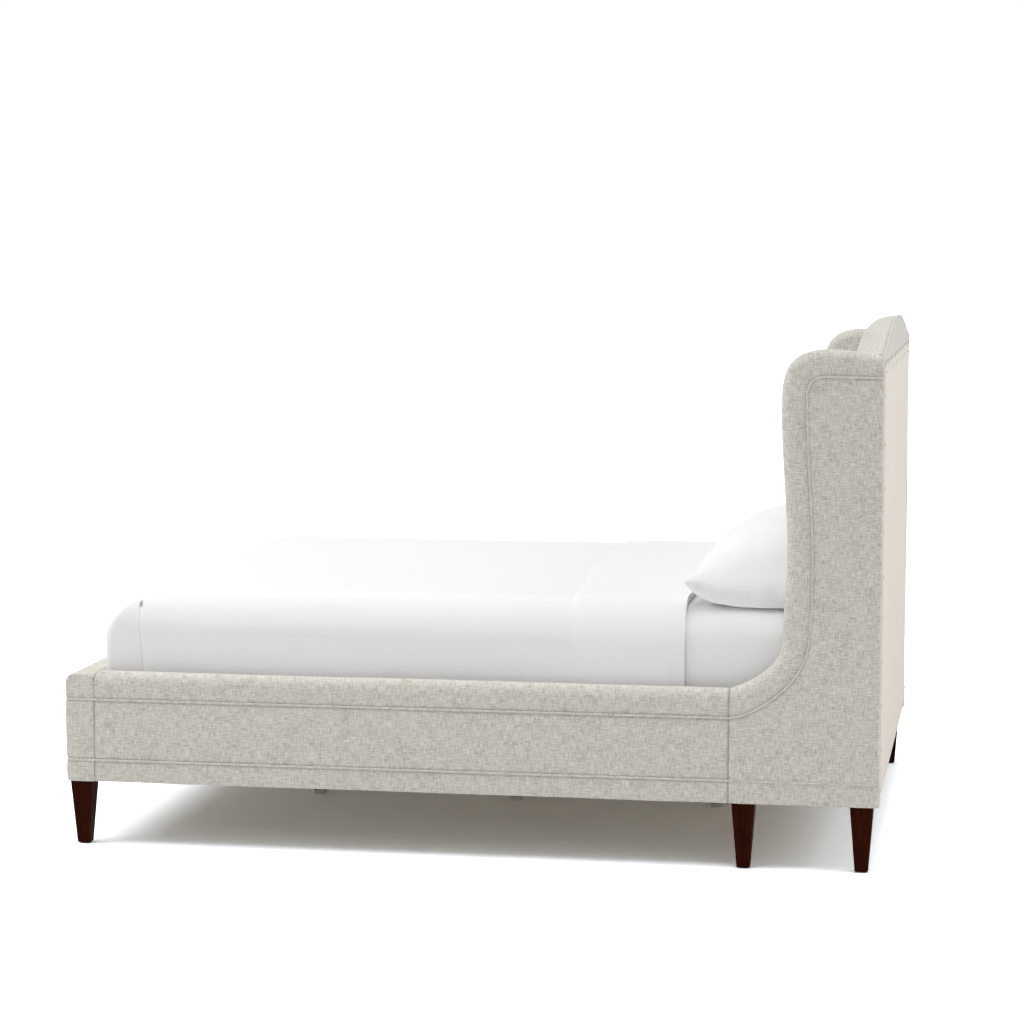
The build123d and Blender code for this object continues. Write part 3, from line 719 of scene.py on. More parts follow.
def make_staples():
    """Staples that hold the muslin, along its rim and on the middle rail."""
    patches = []
    x_rim = back_high.x - 0.018
    for row, (down, start) in enumerate(((0.010, 0.0), (0.030, 0.09))):
        for i, x in enumerate(spread(-x_rim + start, x_rim - start, 0.185)):
            lean = pi / 2 + 0.25 * noise.noise(Vector((i * 3.7, row, 0)))
            patches.append(staple(x + 0.012 * (lean - pi / 2), z_border - down, lean))
    for side in (-1, 1):
        for i, z in enumerate(staple_heights):
            lean = pi / 2 + 0.3 * noise.noise(Vector((i * 2.9, side, 5)))
            patches.append(staple(side * (x_rim - 0.003), z + 0.01 * side, lean))
    for x in rail_staples:
        patches.append(staple(x, z_rail_staples, 0.2 * noise.noise(Vector((x * 9, 2, 2)))))
    for x in spread(-0.571, 0.571, 0.19):
        patches.append(staple(x, back_low.z + 0.018, 0.25 * noise.noise(Vector((x * 7, 8, 2)))))
    return build("back_staples", patches, merge=0.0000001)


# Welts


def make_welts():
    """All welts, by the node that each stands for; those of the +X side are mirrored."""
    rails, wings = [], []
    for name, z, seed in (("low", z_welt_low, 0.11), ("high", z_welt_high, 0.27)):
        line = [Vector((x_side - 0.0004, y, z)) for y in (y_foot_inner, y_seam)]
        rails.append(make_cord(f"rail_welt_{name}_right", line, seed))
    x = x_side - 0.0006
    curved = [Vector((x, *p)) for p in wing_line(wing_welt, z_welt_high, welt_angle)[0]]
    lower = [Vector((x, y, z_welt_low)) for y in (y_seam, y_frame_back - 0.003)]
    for name, line, seed in (("curved", curved, 0.35), ("low", lower, 0.52)):
        z = line[-1].z
        line += [Vector((x - 0.003, y_frame_back, z)), Vector((x - 0.022, y_back, z))]
        wings.append(make_cord(f"wing_welt_{name}_right", line, seed))
    made = {"rail_welts_right": rails, "wing_welts_right": wings}
    for name in ("rail_welts", "wing_welts"):
        made[f"{name}_left"] = [mirrored(o, o.name.replace("right", "left")) for o in made[f"{name}_right"]]
    made["footboard_welts"] = [foot_welt(z, i) for i, z in enumerate((z_welt_low, z_welt_high))]
    made["headboard_welt"] = [crown_welt()]
    return made


def crown_welt():
    """Welt along the crown's back edge, turned down at both shoulders."""
    y, shoulder = y_frame_back - 0.001, x_side - side_round
    crest = [Vector((x, y, crown(x) + 0.0004)) for x in spread(-shoulder, shoulder, 0.02)]
    tail, z_round = [], crown(x_side) - side_round
    for angle in (25, 50, 75, 90):
        a = radians(angle)
        tail.append(Vector((shoulder + side_round * sin(a), y, z_round + side_round * cos(a))))
    start = [Vector((-p.x, p.y, p.z)) for p in reversed(tail)]
    return make_cord("headboard_welt_cord", start + crest + tail, 0.71)


def foot_welt(z, index):
    """Welt round the footboard's front and ends."""
    out, corner = x_side + 0.0006, 0.005
    path = [Vector((-out, y_foot_inner, z)), Vector((-out, y_front + corner, z))]
    for a in (radians(30), radians(60)):
        path.append(Vector((-out + corner * (1 - cos(a)), y_front + corner * (1 - sin(a)), z)))
    path.append(Vector((-out + corner, y_front, z)))
    path += [Vector((-p.x, p.y, p.z)) for p in reversed(path)]
    return make_cord(f"footboard_welt_{index + 1}", path, 0.9 + index, 0.006)


# Bedding


side_steps, corner_steps, foot_steps, middle_steps = 62, 12, 24, 28


def side_inset(z, top, round_x, round_z, kink):
    """How far the side leans in at a height; kink is the angle of the crease where it starts."""
    lift = (z - top + round_z) / round_z
    if lift <= 0:
        return 0.0
    start = radians(kink)
    turn = asin(min(1, sin(start) + (1 - sin(start)) * lift))
    return round_x * (1 - cos(turn) / cos(start))


def foot_inset(z, top, reach):
    """How far the foot slopes in at a height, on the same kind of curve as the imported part's."""
    rise = (z - top + reach) / reach
    if rise <= 0:
        return 0.0
    low, high = 0.0, 1.0
    for _ in range(24):
        s = (low + high) / 2
        if 3 * s**2 - 2 * s**3 + 2**0.5 * (s**3 - 2 * s**2 + s) < rise:
            low = s
        else:
            high = s
    return reach * (3 * s**2 - 2 * s**3 + 2**0.5 * (s**3 - s**2))


def soft_levels(low, top, reach, round_z, step):
    """Heights up the side of the bedding, closer together where it rounds over."""
    start = top - max(reach, round_z)
    zs = spread(low, start, step)
    if reach > round_z:
        zs += spread(start, top - round_z, 0.014)[1:]
    return zs + [top - round_z * (1 - sin(pi / 2 * k / 12)) for k in range(1, 13)]


fold_y = y_front + 0.190


class Bedding:
    """Outer face of cloth over a mattress, level by level."""

    def __init__(self, low, high, rounds, kink, corner, near=1.0):
        self.low, self.high, self.near = low, high, near
        self.round_x, self.reach, self.round_z = rounds
        self.kink, self.corner = kink, corner

    def half(self, y, z):
        """Half width at a place; past the fold the side stands upright for the share left by near."""
        kept = self.near + (1 - self.near) * smooth_step(y, fold_y - 0.090, fold_y + 0.015)
        return self.high.x - kept * side_inset(z, self.high.z, self.round_x, self.round_z, self.kink)

    def outline(self, z):
        """Foot end and corner radius at a height."""
        in_side = side_inset(z, self.high.z, self.round_x, self.round_z, self.kink)
        in_foot = foot_inset(z, self.high.z, self.reach)
        return self.low.y + in_foot, self.corner + 0.25 * self.near * min(in_side, in_foot)

    def ring(self, z):
        """Points at a height, from the head along +X, across the foot and back."""
        y_foot, r = self.outline(z)
        y_side, head = y_foot + r, self.high.y
        ys = [head + (y_side - head) * k / side_steps for k in range(side_steps)]
        row = [Vector((self.half(y, z), y, z)) for y in ys]
        half = self.half(y_side, z)
        for k in range(corner_steps):
            angle = pi / 2 * k / corner_steps
            row.append(Vector((half - r + r * cos(angle), y_side - r * sin(angle), z)))
        row += [Vector(((half - r) * (1 - k / foot_steps), y_foot, z)) for k in range(foot_steps)]
        return [*row, Vector((0, y_foot, z)), *[Vector((-p.x, p.y, p.z)) for p in reversed(row)]]

    def side_point(self, y, z, out):
        """Point on the +X side or round its foot corner, out of the face by a distance."""
        y_foot, r = self.outline(z)
        y_side = y_foot + r
        half = self.half(max(y, y_side), z)
        if y >= y_side:
            return Vector((half + out, y, z))
        angle = asin(min(1, (y_side - y) / r))
        return Vector((half - r + (r + out) * cos(angle), y_side - (r + out) * sin(angle), z))

    def shell(self, step):
        """Patches of the sides and foot, and of the top."""
        zs = soft_levels(self.low.z, self.high.z, self.reach, self.round_z, step)
        sides = [self.ring(z) for z in zs]
        around = running_length(sides[0])
        places = [[(z, along) for along in around] for z in zs]
        edge, y_hub = sides[-1], self.low.y + 0.75
        top = []
        for k in range(middle_steps + 1):
            top.append([p.lerp(Vector((0, max(p.y, y_hub), p.z)), k / middle_steps) for p in edge])
        return [Patch(sides, places), Patch(top, "xy")]


def thicken(obj, depth):
    """Give a cloth its thickness inward."""
    bpy.context.view_layer.objects.active = obj
    solid = obj.modifiers.new("thickness", "SOLIDIFY")
    solid.thickness = depth
    solid.offset = -1
    apply_all(obj)
    obj.data.set_sharp_from_angle(angle=radians(50))


def apply_all(obj):
    """Replace the mesh by what its modifiers make of it."""
    graph = bpy.context.evaluated_depsgraph_get()
    made = bpy.data.meshes.new_from_object(obj.evaluated_get(graph))
    old = obj.data
    obj.modifiers.clear()
    obj.data = made
    bpy.data.meshes.remove(old)


bedding_corner = 0.026
sheet_round, sheet_slope = 0.078, 0.150
cover_shift = Vector((0, 0.006, 0))
cover_rounds, cover_kink = (0.095, 0.140, 0.098), 13


def make_sheet():
    """Fitted sheet over the mattress."""
    rounds = (sheet_round, sheet_slope, sheet_round)
    shape = Bedding(sheet_low, sheet_high, rounds, kink=4, corner=bedding_corner)
    obj = build("fitted_sheet_cloth", shape.shell(step=0.030), merge=0.00005, smooth_angle=60)
    ripple(
        obj, height=0.0030, length=0.12, stretch=(1, 0.6, 1), seed=31.3,
        mask=lambda p: smooth_step(p.y, 0.55, 0.65),
    )
    return obj


fold_top = 0.674
fold_tilt = 0.060
# Across the fold line: distance along the side from the line, how far the flap stands out, and the share of
# painted shade there.
fold_section = (
    (-0.0065, -0.0010, 0.0),
    (-0.0035, 0.0003, 0.25),
    (-0.0012, 0.0004, 1.0),
    (0.0000, 0.0010, 1.0),
    (0.0010, 0.0034, 0.8),
    (0.0025, 0.0048, 0.25),
    (0.0045, 0.0055, 0.0),
    (0.0080, 0.0056, 0.0),
    (0.0150, 0.0050, 0.0),
    (0.0280, 0.0038, 0.0),
    (0.0480, 0.0022, 0.0),
    (0.0720, 0.0008, 0.0),
    (0.1000, -0.0010, 0.0),
)


def fold_flap(shape, side):
    """Rolled edge of the hospital fold on one side, laid over the coverlet's face."""
    rows, dark = [], []
    zs = spread(shape.low.z, fold_top - 0.024, 0.014) + spread(fold_top - 0.020, fold_top + 0.004, 0.003)
    for z in zs:
        line = fold_y + (fold_top - z) * fold_tilt
        held = 1 - smooth_step(z, fold_top - 0.004, fold_top + 0.004)
        row, shades = [], []
        for across, out, shaded in fold_section:
            q = shape.side_point(line + across, z, out * held - 0.0012 * (1 - held))
            row.append(Vector((side * q.x, q.y, q.z)))
            # Painted shade: a dark line along the fold and a dark spot at its top, where the fold dips in.
            painted_dimple_shade = 1 - hypot(across / 0.0075, (z - fold_top + 0.011) / 0.013)
            shades.append(max(shaded * 0.60, min(1.5, 3 * painted_dimple_shade)) * held)
        rows.append(row)
        dark.append(shades)
    return Patch(rows, "zy", dark)


def make_coverlet():
    """Coverlet with a hospital fold at each foot corner."""
    low = cover_low + cover_shift
    shape = Bedding(low, cover_high, cover_rounds, cover_kink, bedding_corner, near=0.15)
    patches = [*shape.shell(step=0.026), fold_flap(shape, side=1), fold_flap(shape, side=-1)]
    obj = build("coverlet_cloth", patches, merge=0.00005, smooth_angle=60)
    ripple(obj, height=0.0024, length=0.22, stretch=(1, 0.55, 1.2), seed=41.9)
    ripple(obj, height=0.0010, length=0.07, stretch=(1, 0.5, 1.4), seed=44.2)
    thicken(obj, depth=0.006)
    return obj


band_round_x, band_round_z = 0.097, 0.104
band_sag, band_lip = 0.042, 0.004


def make_turn_down():
    """Head end of the bedding, turned back over the coverlet."""
    low, high = band_low, band_high
    zs = soft_levels(low.z, high.z, reach=0, round_z=band_round_z, step=0.024)
    section = [(high.x - side_inset(z, high.z, band_round_x, band_round_z, cover_kink), z) for z in zs]
    flat = section[-1][0]
    section += [(flat * (1 - k / middle_steps), high.z) for k in range(1, middle_steps + 1)]
    section += [(-x, z) for x, z in reversed(section[:-1])]
    ys = [low.y, low.y + 0.002, low.y + 0.005, low.y + 0.010, *spread(low.y + 0.020, high.y, 0.024)]
    along = running_length([Vector((x, 0, z)) for x, z in section])
    rows = []
    for y in ys:
        toward = 1 - smooth_step(y, low.y, low.y + 0.12)
        lip = 1 - smooth_step(y - low.y, 0.0, 0.010)
        row = []
        for x, z in section:
            shift = band_sag * toward * smooth_step(high.x - x, 0.06, 0.85)
            row.append(Vector((x, y - shift, z - band_lip * lip * smooth_step(z, 0.66, 0.70))))
        rows.append(row)
    patch = Patch(rows, [[(s, y) for s in along] for y in ys])
    obj = build("coverlet_turn_down_cloth", [patch], merge=0.00005, smooth_angle=60)
    ripple(obj, height=0.0024, length=0.20, stretch=(1, 0.6, 1.2), seed=51.9)
    thicken(obj, depth=0.005)
    return obj


# Pillows


pillow_seam = 0.073
fullness = 0.87
end_sag = 0.040
end_drop = 0.012
droop_most = 0.013
top_margin, top_ease, ease_base = 0.010, 0.014, 0.36788
across_steps, along_steps = 52, 34


def pillow_shape(name, node):
    """A filled pillow on its CAD solid's place: thin seams, pointed corners, full middle."""
    low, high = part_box(node)
    centre, half = (low + high) / 2, (high - low) / 2
    seam = low.z + pillow_seam
    rise = fullness * (high.z - seam)
    patches = []
    for up in (1, -1):
        rows = []
        for i in range(across_steps + 1):
            u = -1 + 2 * i / across_steps
            u = sin(u * pi / 2) * 0.45 + u * 0.55
            row = []
            for j in range(along_steps + 1):
                v = -1 + 2 * j / along_steps
                v = sin(v * pi / 2) * 0.40 + v * 0.60
                draw_x = 1 - 0.030 * (1 - v * v)
                draw_y = 1 - 0.060 * (1 - u * u)
                z = seam - end_sag * abs(u) ** 4 * (1 - v * v)
                z -= end_drop * smooth_step(abs(centre.x + u * half.x), 0.66, 0.76) * (1 - v**4)
                if up > 0:
                    z += rise * ((1 - abs(u) ** 3.2) * (1 - abs(v) ** 1.7)) ** 0.72
                else:
                    z -= pillow_seam * ((1 - abs(u) ** 14) * (1 - abs(v) ** 2.6)) ** 0.60
                row.append(Vector((centre.x + u * half.x * draw_x, centre.y + v * half.y * draw_y, z)))
            rows.append(row)
        patches.append(Patch(rows, "xy"))
    return build(name, patches, merge=0.0001, smooth_angle=75)


def inflate(obj, pressure, frames, cap):
    """Let cloth simulation fill the pillow, and keep each point within cap of where it began."""
    before = [v.co.copy() for v in obj.data.vertices]
    cloth = obj.modifiers.new("cloth", "CLOTH")
    settings = cloth.settings
    settings.quality = 6
    settings.mass = 0.2
    settings.tension_stiffness = 25
    settings.compression_stiffness = 25
    settings.shear_stiffness = 8
    settings.bending_stiffness = 0.35
    settings.shrink_min = -0.04
    settings.use_pressure = True
    settings.uniform_pressure_force = pressure
    settings.effector_weights.gravity = 0
    cloth.collision_settings.use_self_collision = False
    cloth.point_cache.frame_start, cloth.point_cache.frame_end = 1, frames
    scene = bpy.context.scene
    for number in range(1, frames + 1):
        scene.frame_set(number)
    apply_all(obj)
    scene.frame_set(1)
    for vert, start in zip(obj.data.vertices, before):
        move = vert.co - start
        if move.length > cap:
            vert.co = start + move * (cap / move.length)
    obj.data.update()


def make_pillow(name, node, seed):
    """A pillow, filled by simulation, then settled onto the sheet."""
    obj = pillow_shape(name, node)
    low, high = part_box(node)
    bpy.context.view_layer.objects.active = obj
    fine = obj.modifiers.new("fine", "SUBSURF")
    fine.levels = 1
    apply_all(obj)
    inflate(obj, pressure=3.0, frames=16, cap=0.007)
    ripple(obj, height=0.006, length=0.16, stretch=(1, 1, 0.6), seed=seed)
    ripple(obj, height=0.0022, length=0.05, stretch=(1, 0.7, 1), seed=seed + 3)
    for vert in obj.data.vertices:
        past = min(0.9 * sheet_round, max(0.0, abs(vert.co.x) - sheet_high.x + sheet_round))
        dip = min(droop_most, sheet_round - (sheet_round**2 - past**2) ** 0.5)
        rest = low.z + 0.001 - dip
        if vert.co.z < rest + 0.010:
            vert.co.z = rest + 0.010 * smooth_step(vert.co.z, rest - 0.030, rest + 0.010) ** 2
        over = vert.co.z - high.z + top_margin
        if over > 0:
            vert.co.z = high.z - top_margin + top_ease * (1 - ease_base ** (over / top_ease))
    obj.data.update()
    obj.data.shade_smooth()
    return obj


# Materials


def nodes_of(name):
    """A new material with its node tree and main shader."""
    material = bpy.data.materials.new(name)
    material.use_nodes = True
    tree = material.node_tree
    return material, tree, tree.nodes["Principled BSDF"]


def add(tree, kind, **values):
    """A node with values for its settings or its inputs."""
    node = tree.nodes.new(kind)
    for key, value in values.items():
        if hasattr(node, key):
            setattr(node, key, value)
        else:
            node.inputs[key.replace("_", " ")].default_value = value
    return node


def object_place(tree):
    """Coordinates of the object itself."""
    return add(tree, "ShaderNodeTexCoord").outputs["Object"]


def noise_node(tree, vector, scale, detail=2.0, rough=0.5):
    """Noise of a scale per metre, or of one scale along each axis."""
    if isinstance(scale, tuple):
        vector, scale = stretched(tree, vector, scale), 1.0
    node = add(tree, "ShaderNodeTexNoise", Scale=scale, Detail=detail, Roughness=rough)
    tree.links.new(vector, node.inputs["Vector"])
    return node.outputs["Fac"]


def stretched(tree, vector, scale):
    """Coordinates scaled along each axis."""
    node = add(tree, "ShaderNodeMapping", Scale=scale)
    tree.links.new(vector, node.inputs["Vector"])
    return node.outputs["Vector"]


def combine(tree, operation, a, b):
    """Arithmetic on two values or links."""
    node = add(tree, "ShaderNodeMath", operation=operation)
    for value, socket in zip((a, b), node.inputs):
        if isinstance(value, (int, float)):
            socket.default_value = value
        else:
            tree.links.new(value, socket)
    return node.outputs[0]


def shared(tree, a, share_a, b, share_b):
    """Sum of two links, each by its share."""
    a, b = combine(tree, "MULTIPLY", a, share_a), combine(tree, "MULTIPLY", b, share_b)
    return combine(tree, "ADD", a, b)


def ramp(tree, factor, stops):
    """Colour ramp from (place, colour) stops."""
    node = tree.nodes.new("ShaderNodeValToRGB")
    elements = node.color_ramp.elements
    while len(elements) < len(stops):
        elements.new(0.5)
    for element, (place, colour) in zip(elements, stops):
        element.position = place
        element.color = (*colour, 1)
    tree.links.new(factor, node.inputs["Fac"])
    return node.outputs["Color"]


def mix(tree, factor, a, b):
    """Mix of two colours."""
    node = add(tree, "ShaderNodeMix", data_type="RGBA")
    for value, socket in ((factor, node.inputs[0]), (a, node.inputs[6]), (b, node.inputs[7])):
        if isinstance(value, tuple):
            socket.default_value = (*value, 1)
        else:
            tree.links.new(value, socket)
    return node.outputs[2]


def bump(tree, height, distance, strength, below=None):
    """Bump from a height link."""
    node = add(tree, "ShaderNodeBump", Strength=strength, Distance=distance)
    tree.links.new(height, node.inputs["Height"])
    if below is not None:
        tree.links.new(below, node.inputs["Normal"])
    return node.outputs["Normal"]


def complete(tree, shader, colour, normal, **values):
    """Link a shader's colour and normal, and set its plain values."""
    tree.links.new(colour, shader.inputs["Base Color"])
    tree.links.new(normal, shader.inputs["Normal"])
    for key, value in values.items():
        shader.inputs[key.replace("_", " ")].default_value = value


def scaled(colour, share):
    """A colour made lighter or darker."""
    return tuple(c * share for c in colour)


def srgb(red, green, blue):
    """Linear colour of an 8 bit one."""
    def linear(c):
        c /= 255
        return c / 12.92 if c <= 0.04045 else ((c + 0.055) / 1.055) ** 2.4
    return (linear(red), linear(green), linear(blue))


def weave(tree, cloth, along, across, detail, rough=0.5, join="ADD"):
    """Noise drawn out along the weft and along the warp, joined."""
    weft = noise_node(tree, cloth, (along, across, 1), detail, rough)
    warp = noise_node(tree, cloth, (across, along, 1), detail, rough)
    return combine(tree, join, weft, warp)


def paint_seam_shade(tree, colour, share, seam_shade_colour):
    """Painted shade: mix a colour toward a darker one by the mesh's seam attribute, where seams and grooves
    lie in shade.
    """
    seam = add(tree, "ShaderNodeAttribute", attribute_name="seam").outputs["Fac"]
    return mix(tree, combine(tree, "MULTIPLY", seam, share), colour, seam_shade_colour)


def linen(name):
    """Heathered linen weave: slubs along both threads, with clouds of tan flecks."""
    material, tree, shader = nodes_of(name)
    cloth = add(tree, "ShaderNodeUVMap", uv_map="cloth").outputs["UV"]
    threads = combine(tree, "MULTIPLY", weave(tree, cloth, 42, 330, detail=2.0, rough=0.55), 0.5)
    flecks = weave(tree, cloth, 60, 420, detail=1.0, join="MAXIMUM")
    cloud = noise_node(tree, cloth, scale=26.0, detail=3.0, rough=0.6)
    wide = noise_node(tree, cloth, scale=7.0)
    base = ramp(tree, threads, [
        (0.32, srgb(170, 165, 154)),
        (0.44, srgb(197, 193, 184)),
        (0.52, srgb(209, 206, 198)),
        (0.64, srgb(225, 223, 218)),
    ])
    chance = combine(tree, "ADD", flecks, shared(tree, cloud, 0.62, wide, 0.20))
    mask = add(tree, "ShaderNodeMapRange", From_Min=1.02, From_Max=1.20)
    tree.links.new(chance, mask.inputs["Value"])
    tan = mix(tree, wide, srgb(158, 143, 118), srgb(176, 164, 144))
    colour = mix(tree, combine(tree, "MULTIPLY", mask.outputs["Result"], 0.70), base, tan)
    # Painted shade in the grooves by the welts and in the seams.
    colour = paint_seam_shade(tree, colour, 0.34, srgb(96, 90, 80))
    fine = weave(tree, cloth, 160, 1100, detail=0.0)
    height = combine(tree, "ADD", threads, combine(tree, "MULTIPLY", fine, 0.4))
    values = {"Roughness": 0.92, "Specular IOR Level": 0.18, "Sheen Weight": 0.25, "Sheen Roughness": 0.5}
    complete(tree, shader, colour, bump(tree, height, distance=0.0009, strength=0.7), **values)
    return material


def cotton(name, colour, threads_per_metre=900.0, soft=0.0012):
    """Plain cotton with a fine weave and faint crumples: bed linen, ticking and the muslin."""
    material, tree, shader = nodes_of(name)
    cloth = add(tree, "ShaderNodeUVMap", uv_map="cloth").outputs["UV"]
    threads = combine(tree, "MULTIPLY", weave(tree, cloth, 120, threads_per_metre, detail=1.0), 0.5)
    wide = noise_node(tree, cloth, scale=5.0)
    woven = ramp(tree, threads, [(0.38, scaled(colour, 0.955)), (0.60, colour)])
    tinted = mix(tree, combine(tree, "MULTIPLY", wide, 0.10), woven, scaled(colour, 0.97))
    # Painted shade at the hospital folds and along the muslin's top edge.
    tinted = paint_seam_shade(tree, tinted, 0.55, srgb(120, 120, 122))
    crumple = noise_node(tree, object_place(tree), scale=14.0, detail=3.0, rough=0.55)
    under = bump(tree, crumple, distance=soft * 2.2, strength=0.5)
    normal = bump(tree, threads, distance=0.0003, strength=0.5, below=under)
    values = {"Roughness": 0.85, "Specular IOR Level": 0.2, "Sheen Weight": 0.2}
    complete(tree, shader, tinted, normal, **values)
    return material


def wood(name, dark, light, rough, scale, stretch, gloss=0.3):
    """Wood with its grain along the axis that stretch draws out."""
    material, tree, shader = nodes_of(name)
    place = object_place(tree)
    rings = noise_node(tree, place, scaled(stretch, scale), detail=4.0, rough=0.6)
    pores = noise_node(tree, place, scaled(stretch, 6 * scale), detail=2.0, rough=0.6)
    grain = shared(tree, rings, 0.75, pores, 0.25)
    shine = add(tree, "ShaderNodeMapRange", To_Min=rough - 0.06, To_Max=rough + 0.08)
    tree.links.new(pores, shine.inputs["Value"])
    tree.links.new(shine.outputs["Result"], shader.inputs["Roughness"])
    colour = ramp(tree, grain, [(0.36, dark), (0.62, light)])
    normal = bump(tree, grain, distance=0.0004, strength=0.4)
    complete(tree, shader, colour, normal, **{"Specular IOR Level": gloss})
    return material


def grained(name, stops, strength, scale, detail, rough=0.5, **values):
    """A material that varies a little: stops of colour over a fine noise, which is its bump too."""
    material, tree, shader = nodes_of(name)
    fine = noise_node(tree, object_place(tree), scale, detail, rough)
    normal = bump(tree, fine, distance=0.0001, strength=strength)
    complete(tree, shader, ramp(tree, fine, stops), normal, **values)
    return material


def metal(name, colour, rough):
    """Zinc plated steel with fine scuffs."""
    stops = [(0.3, scaled(colour, 0.8)), (0.7, colour)]
    fine = {"scale": 180.0, "detail": 3.0, "rough": 0.6}
    return grained(name, stops, strength=0.4, **fine, Metallic=1.0, Roughness=rough)


def plastic(name, colour):
    """Dull plastic with a fine grain, also for the foam, and for the staples, whose dark colour is painted
    shade.
    """
    stops = [(0.3, colour), (0.8, scaled(colour, 1.3))]
    return grained(name, stops, strength=0.5, scale=900.0, detail=1.0, Roughness=0.55)


def make_materials():
    """Every material by its slot."""
    return {
        "upholstery_fabric": linen("linen_heather"),
        "welt_fabric": linen("linen_welt"),
        "muslin": cotton("muslin_cream", srgb(222, 213, 201), threads_per_metre=700.0, soft=0.0006),
        "foam": plastic("foam_core", srgb(226, 220, 196)),
        "leg_wood": wood(
            "leg_walnut", srgb(30, 8, 2), srgb(54, 18, 6),
            rough=0.50, scale=14.0, stretch=(9, 9, 1), gloss=0.02,
        ),
        "frame_timber": wood(
            "pine", srgb(196, 178, 150), srgb(222, 207, 182),
            rough=0.6, scale=9.0, stretch=(1, 9, 9),
        ),
        "board": wood(
            "plywood", srgb(186, 168, 140), srgb(210, 194, 168),
            rough=0.65, scale=7.0, stretch=(8, 1, 8),
        ),
        "steel": metal("zinc_steel", srgb(176, 178, 182), rough=0.35),
        "glide_plastic": plastic("black_nylon", srgb(38, 38, 40)),
        "pad_plastic": plastic("grey_nylon", srgb(230, 230, 231)),
        "mattress_ticking": cotton("ticking", srgb(236, 236, 234)),
        "sheet_cotton": cotton("percale", srgb(240, 240, 241)),
        "coverlet_cotton": cotton("brushed_cotton", srgb(238, 238, 239), threads_per_metre=800.0),
        "pillow_cotton": cotton("pillow_percale", srgb(241, 241, 242)),
    }


def dress_cad(materials):
    """Give the carried over CAD nodes their materials."""
    for part in frame["record"]["subparts"]:
        obj = frame["nodes"][part["node"]]
        obj.data.materials.clear()
        obj.data.materials.append(materials[part["material_slot"]])


def use(obj, material, body):
    """Material, slot and body of a new piece."""
    obj.data.materials.clear()
    obj.data.materials.append(material)
    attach(obj, body)


# Stage

world_strength = 0.40
sun_strength, sun_angle = 1.50, 44
sun_place, sun_aim = (0, 0, 5), (-0.10, 0.06, -1)
area_size = (4.0, 3.0)
area_lamps = (
    ("key", 140.0, (1.2, -4.4, 4.6), (0.0, 1.0, 1.2)),
    ("rear", 100.0, (0.5, 6.0, 4.2), (0.0, 1.1, 1.1)),
)
floor_size = 400
floor_lit, floor_seen = (0.92, 0.92, 0.92, 1), (0.90, 0.94, 0.98, 1)
white = (1, 1, 1, 1)

camera_place = (8.3398, 1.4582, 1.6867)
camera_azimuth, camera_elevation = 100.003, 5.575
camera_lens = 101.3


def choose(tree, other, direct, output):
    """Show one shader to rays from the camera, off gloss and through glass, and the other to the rest."""
    path, pick = add(tree, "ShaderNodeLightPath"), add(tree, "ShaderNodeMixShader")
    seen = combine(tree, "MAXIMUM", path.outputs["Is Camera Ray"], path.outputs["Is Glossy Ray"])
    seen = combine(tree, "MAXIMUM", seen, path.outputs["Is Transmission Ray"])
    tree.links.new(seen, pick.inputs["Fac"])
    tree.links.new(other.outputs[0], pick.inputs[1])
    tree.links.new(direct.outputs[0], pick.inputs[2])
    tree.links.new(pick.outputs[0], output.inputs["Surface"])


def make_world():
    """White surroundings that give an even light."""
    world = bpy.data.worlds.new("studio")
    bpy.context.scene.world = world
    world.use_nodes = True
    tree = world.node_tree
    tree.nodes.clear()
    lit = add(tree, "ShaderNodeBackground", Color=white, Strength=world_strength)
    seen = add(tree, "ShaderNodeBackground", Color=white, Strength=1.0)
    choose(tree, lit, seen, add(tree, "ShaderNodeOutputWorld"))


def make_floor():
    """Pale floor, shown about twice as bright as it lights the bed: white, but for the shadow."""
    bpy.ops.mesh.primitive_plane_add(size=floor_size, location=(0, 0, -0.0005))
    floor = bpy.context.object
    floor.name = "floor"
    material, tree, shader = nodes_of("floor_white")
    shader.inputs["Base Color"].default_value = floor_lit
    shader.inputs["Roughness"].default_value = 0.9
    shader.inputs["Specular IOR Level"].default_value = 0.0
    both = add(tree, "ShaderNodeAddShader")
    for socket in both.inputs:
        tree.links.new(add(tree, "ShaderNodeBsdfDiffuse", Color=floor_seen).outputs[0], socket)
    choose(tree, shader, both, tree.nodes["Material Output"])
    floor.data.materials.append(material)


def stand(name, data, place, toward):
    """A lamp or camera at a place, looking along a direction."""
    obj = bpy.data.objects.new(name, data)
    obj.location = place
    obj.rotation_mode = "QUATERNION"
    obj.rotation_quaternion = Vector(toward).to_track_quat("-Z", "Y")
    bpy.context.scene.collection.objects.link(obj)
    return obj


def make_lamps():
    """A broad overhead light, and a soft one from each end of the bed."""
    sun = bpy.data.lights.new("overhead", "SUN")
    sun.energy, sun.angle = sun_strength, radians(sun_angle)
    stand("overhead", sun, sun_place, sun_aim)
    for name, power, place, aim in area_lamps:
        data = bpy.data.lights.new(name, "AREA")
        data.shape = "RECTANGLE"
        data.size, data.size_y = area_size
        data.energy = power
        stand(name, data, place, Vector(aim) - Vector(place))


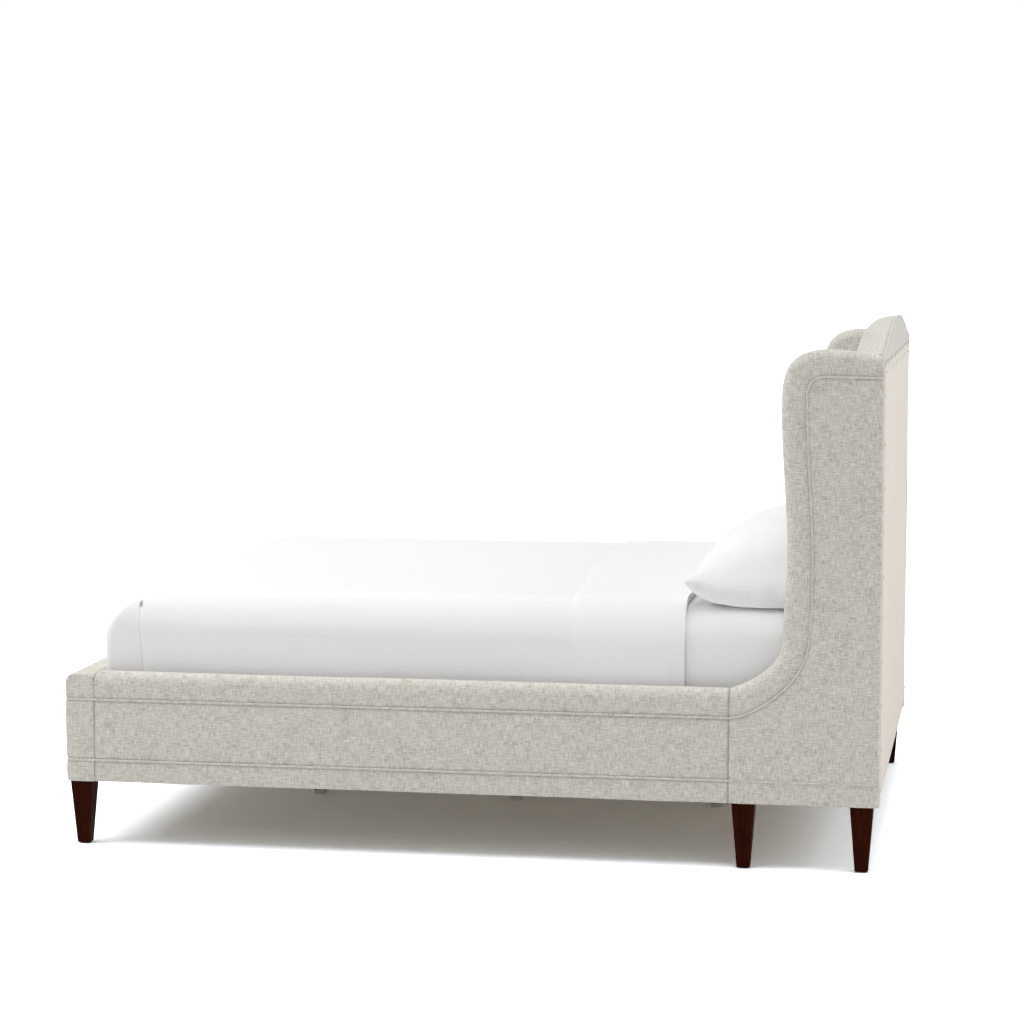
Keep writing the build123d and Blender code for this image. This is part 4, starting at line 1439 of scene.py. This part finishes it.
def make_camera():
    """Camera at the photo's viewing angle."""
    data = bpy.data.cameras.new("camera")
    data.lens, data.sensor_width, data.clip_end = camera_lens, 36, 200
    a, e = radians(camera_azimuth), radians(camera_elevation)
    ahead = -Vector((sin(a) * cos(e), -cos(a) * cos(e), sin(e)))
    bpy.context.scene.camera = stand("camera", data, camera_place, ahead)


def dress_frame(materials):
    """Upholstery, back and welts of the bed frame."""
    linen_cloth, welt_cloth = materials["upholstery_fabric"], materials["welt_fabric"]
    for name, right in (("rail", make_rail()), ("wing", make_wing())):
        left = mirrored(right, f"{name}_upholstery_left")
        for side, obj in (("right", right), ("left", left)):
            use(obj, linen_cloth, "bed_frame")
            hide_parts(f"{name}_cover_{side}", f"{name}_foam_{side}")
    for name, obj in (("footboard", make_footboard()), ("headboard", make_headboard())):
        use(obj, linen_cloth, "bed_frame")
        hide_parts(f"{name}_cover", f"{name}_foam")
    border, muslin, staples = make_border(), make_muslin(), make_staples()
    use(border, linen_cloth, "bed_frame")
    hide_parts("back_border")
    use(muslin, materials["muslin"], "bed_frame")
    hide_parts("back_muslin")
    # The staples are coloured dark as painted shade, in place of their steel.
    use(staples, plastic("staple_painted_shade", srgb(58, 54, 50)), "bed_frame")
    for node, cords in make_welts().items():
        for cord in cords:
            use(cord, welt_cloth, "bed_frame")
            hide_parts(node)


def dress_bedding(materials):
    """Sheet, coverlet, its turned down end and the pillows."""
    sheet, coverlet, band = make_sheet(), make_coverlet(), make_turn_down()
    use(sheet, materials["sheet_cotton"], "mattress")
    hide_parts("fitted_sheet", "mattress")
    use(coverlet, materials["coverlet_cotton"], "mattress")
    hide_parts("coverlet")
    use(band, materials["sheet_cotton"], "mattress")
    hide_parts("coverlet_turn_down")
    for side, seed in (("right", 61.0), ("left", 72.0)):
        pillow = make_pillow(f"pillow_{side}_cloth", f"pillow_{side}", seed)
        use(pillow, materials["pillow_cotton"], f"pillow_{side}")
        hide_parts(f"pillow_{side}")


def main():
    """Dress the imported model, then set the stage."""
    materials = make_materials()
    dress_cad(materials)
    dress_frame(materials)
    dress_bedding(materials)
    view = bpy.context.scene.view_settings
    view.view_transform, view.look = "Standard", "None"
    make_camera()
    make_world()
    make_floor()
    make_lamps()


main()
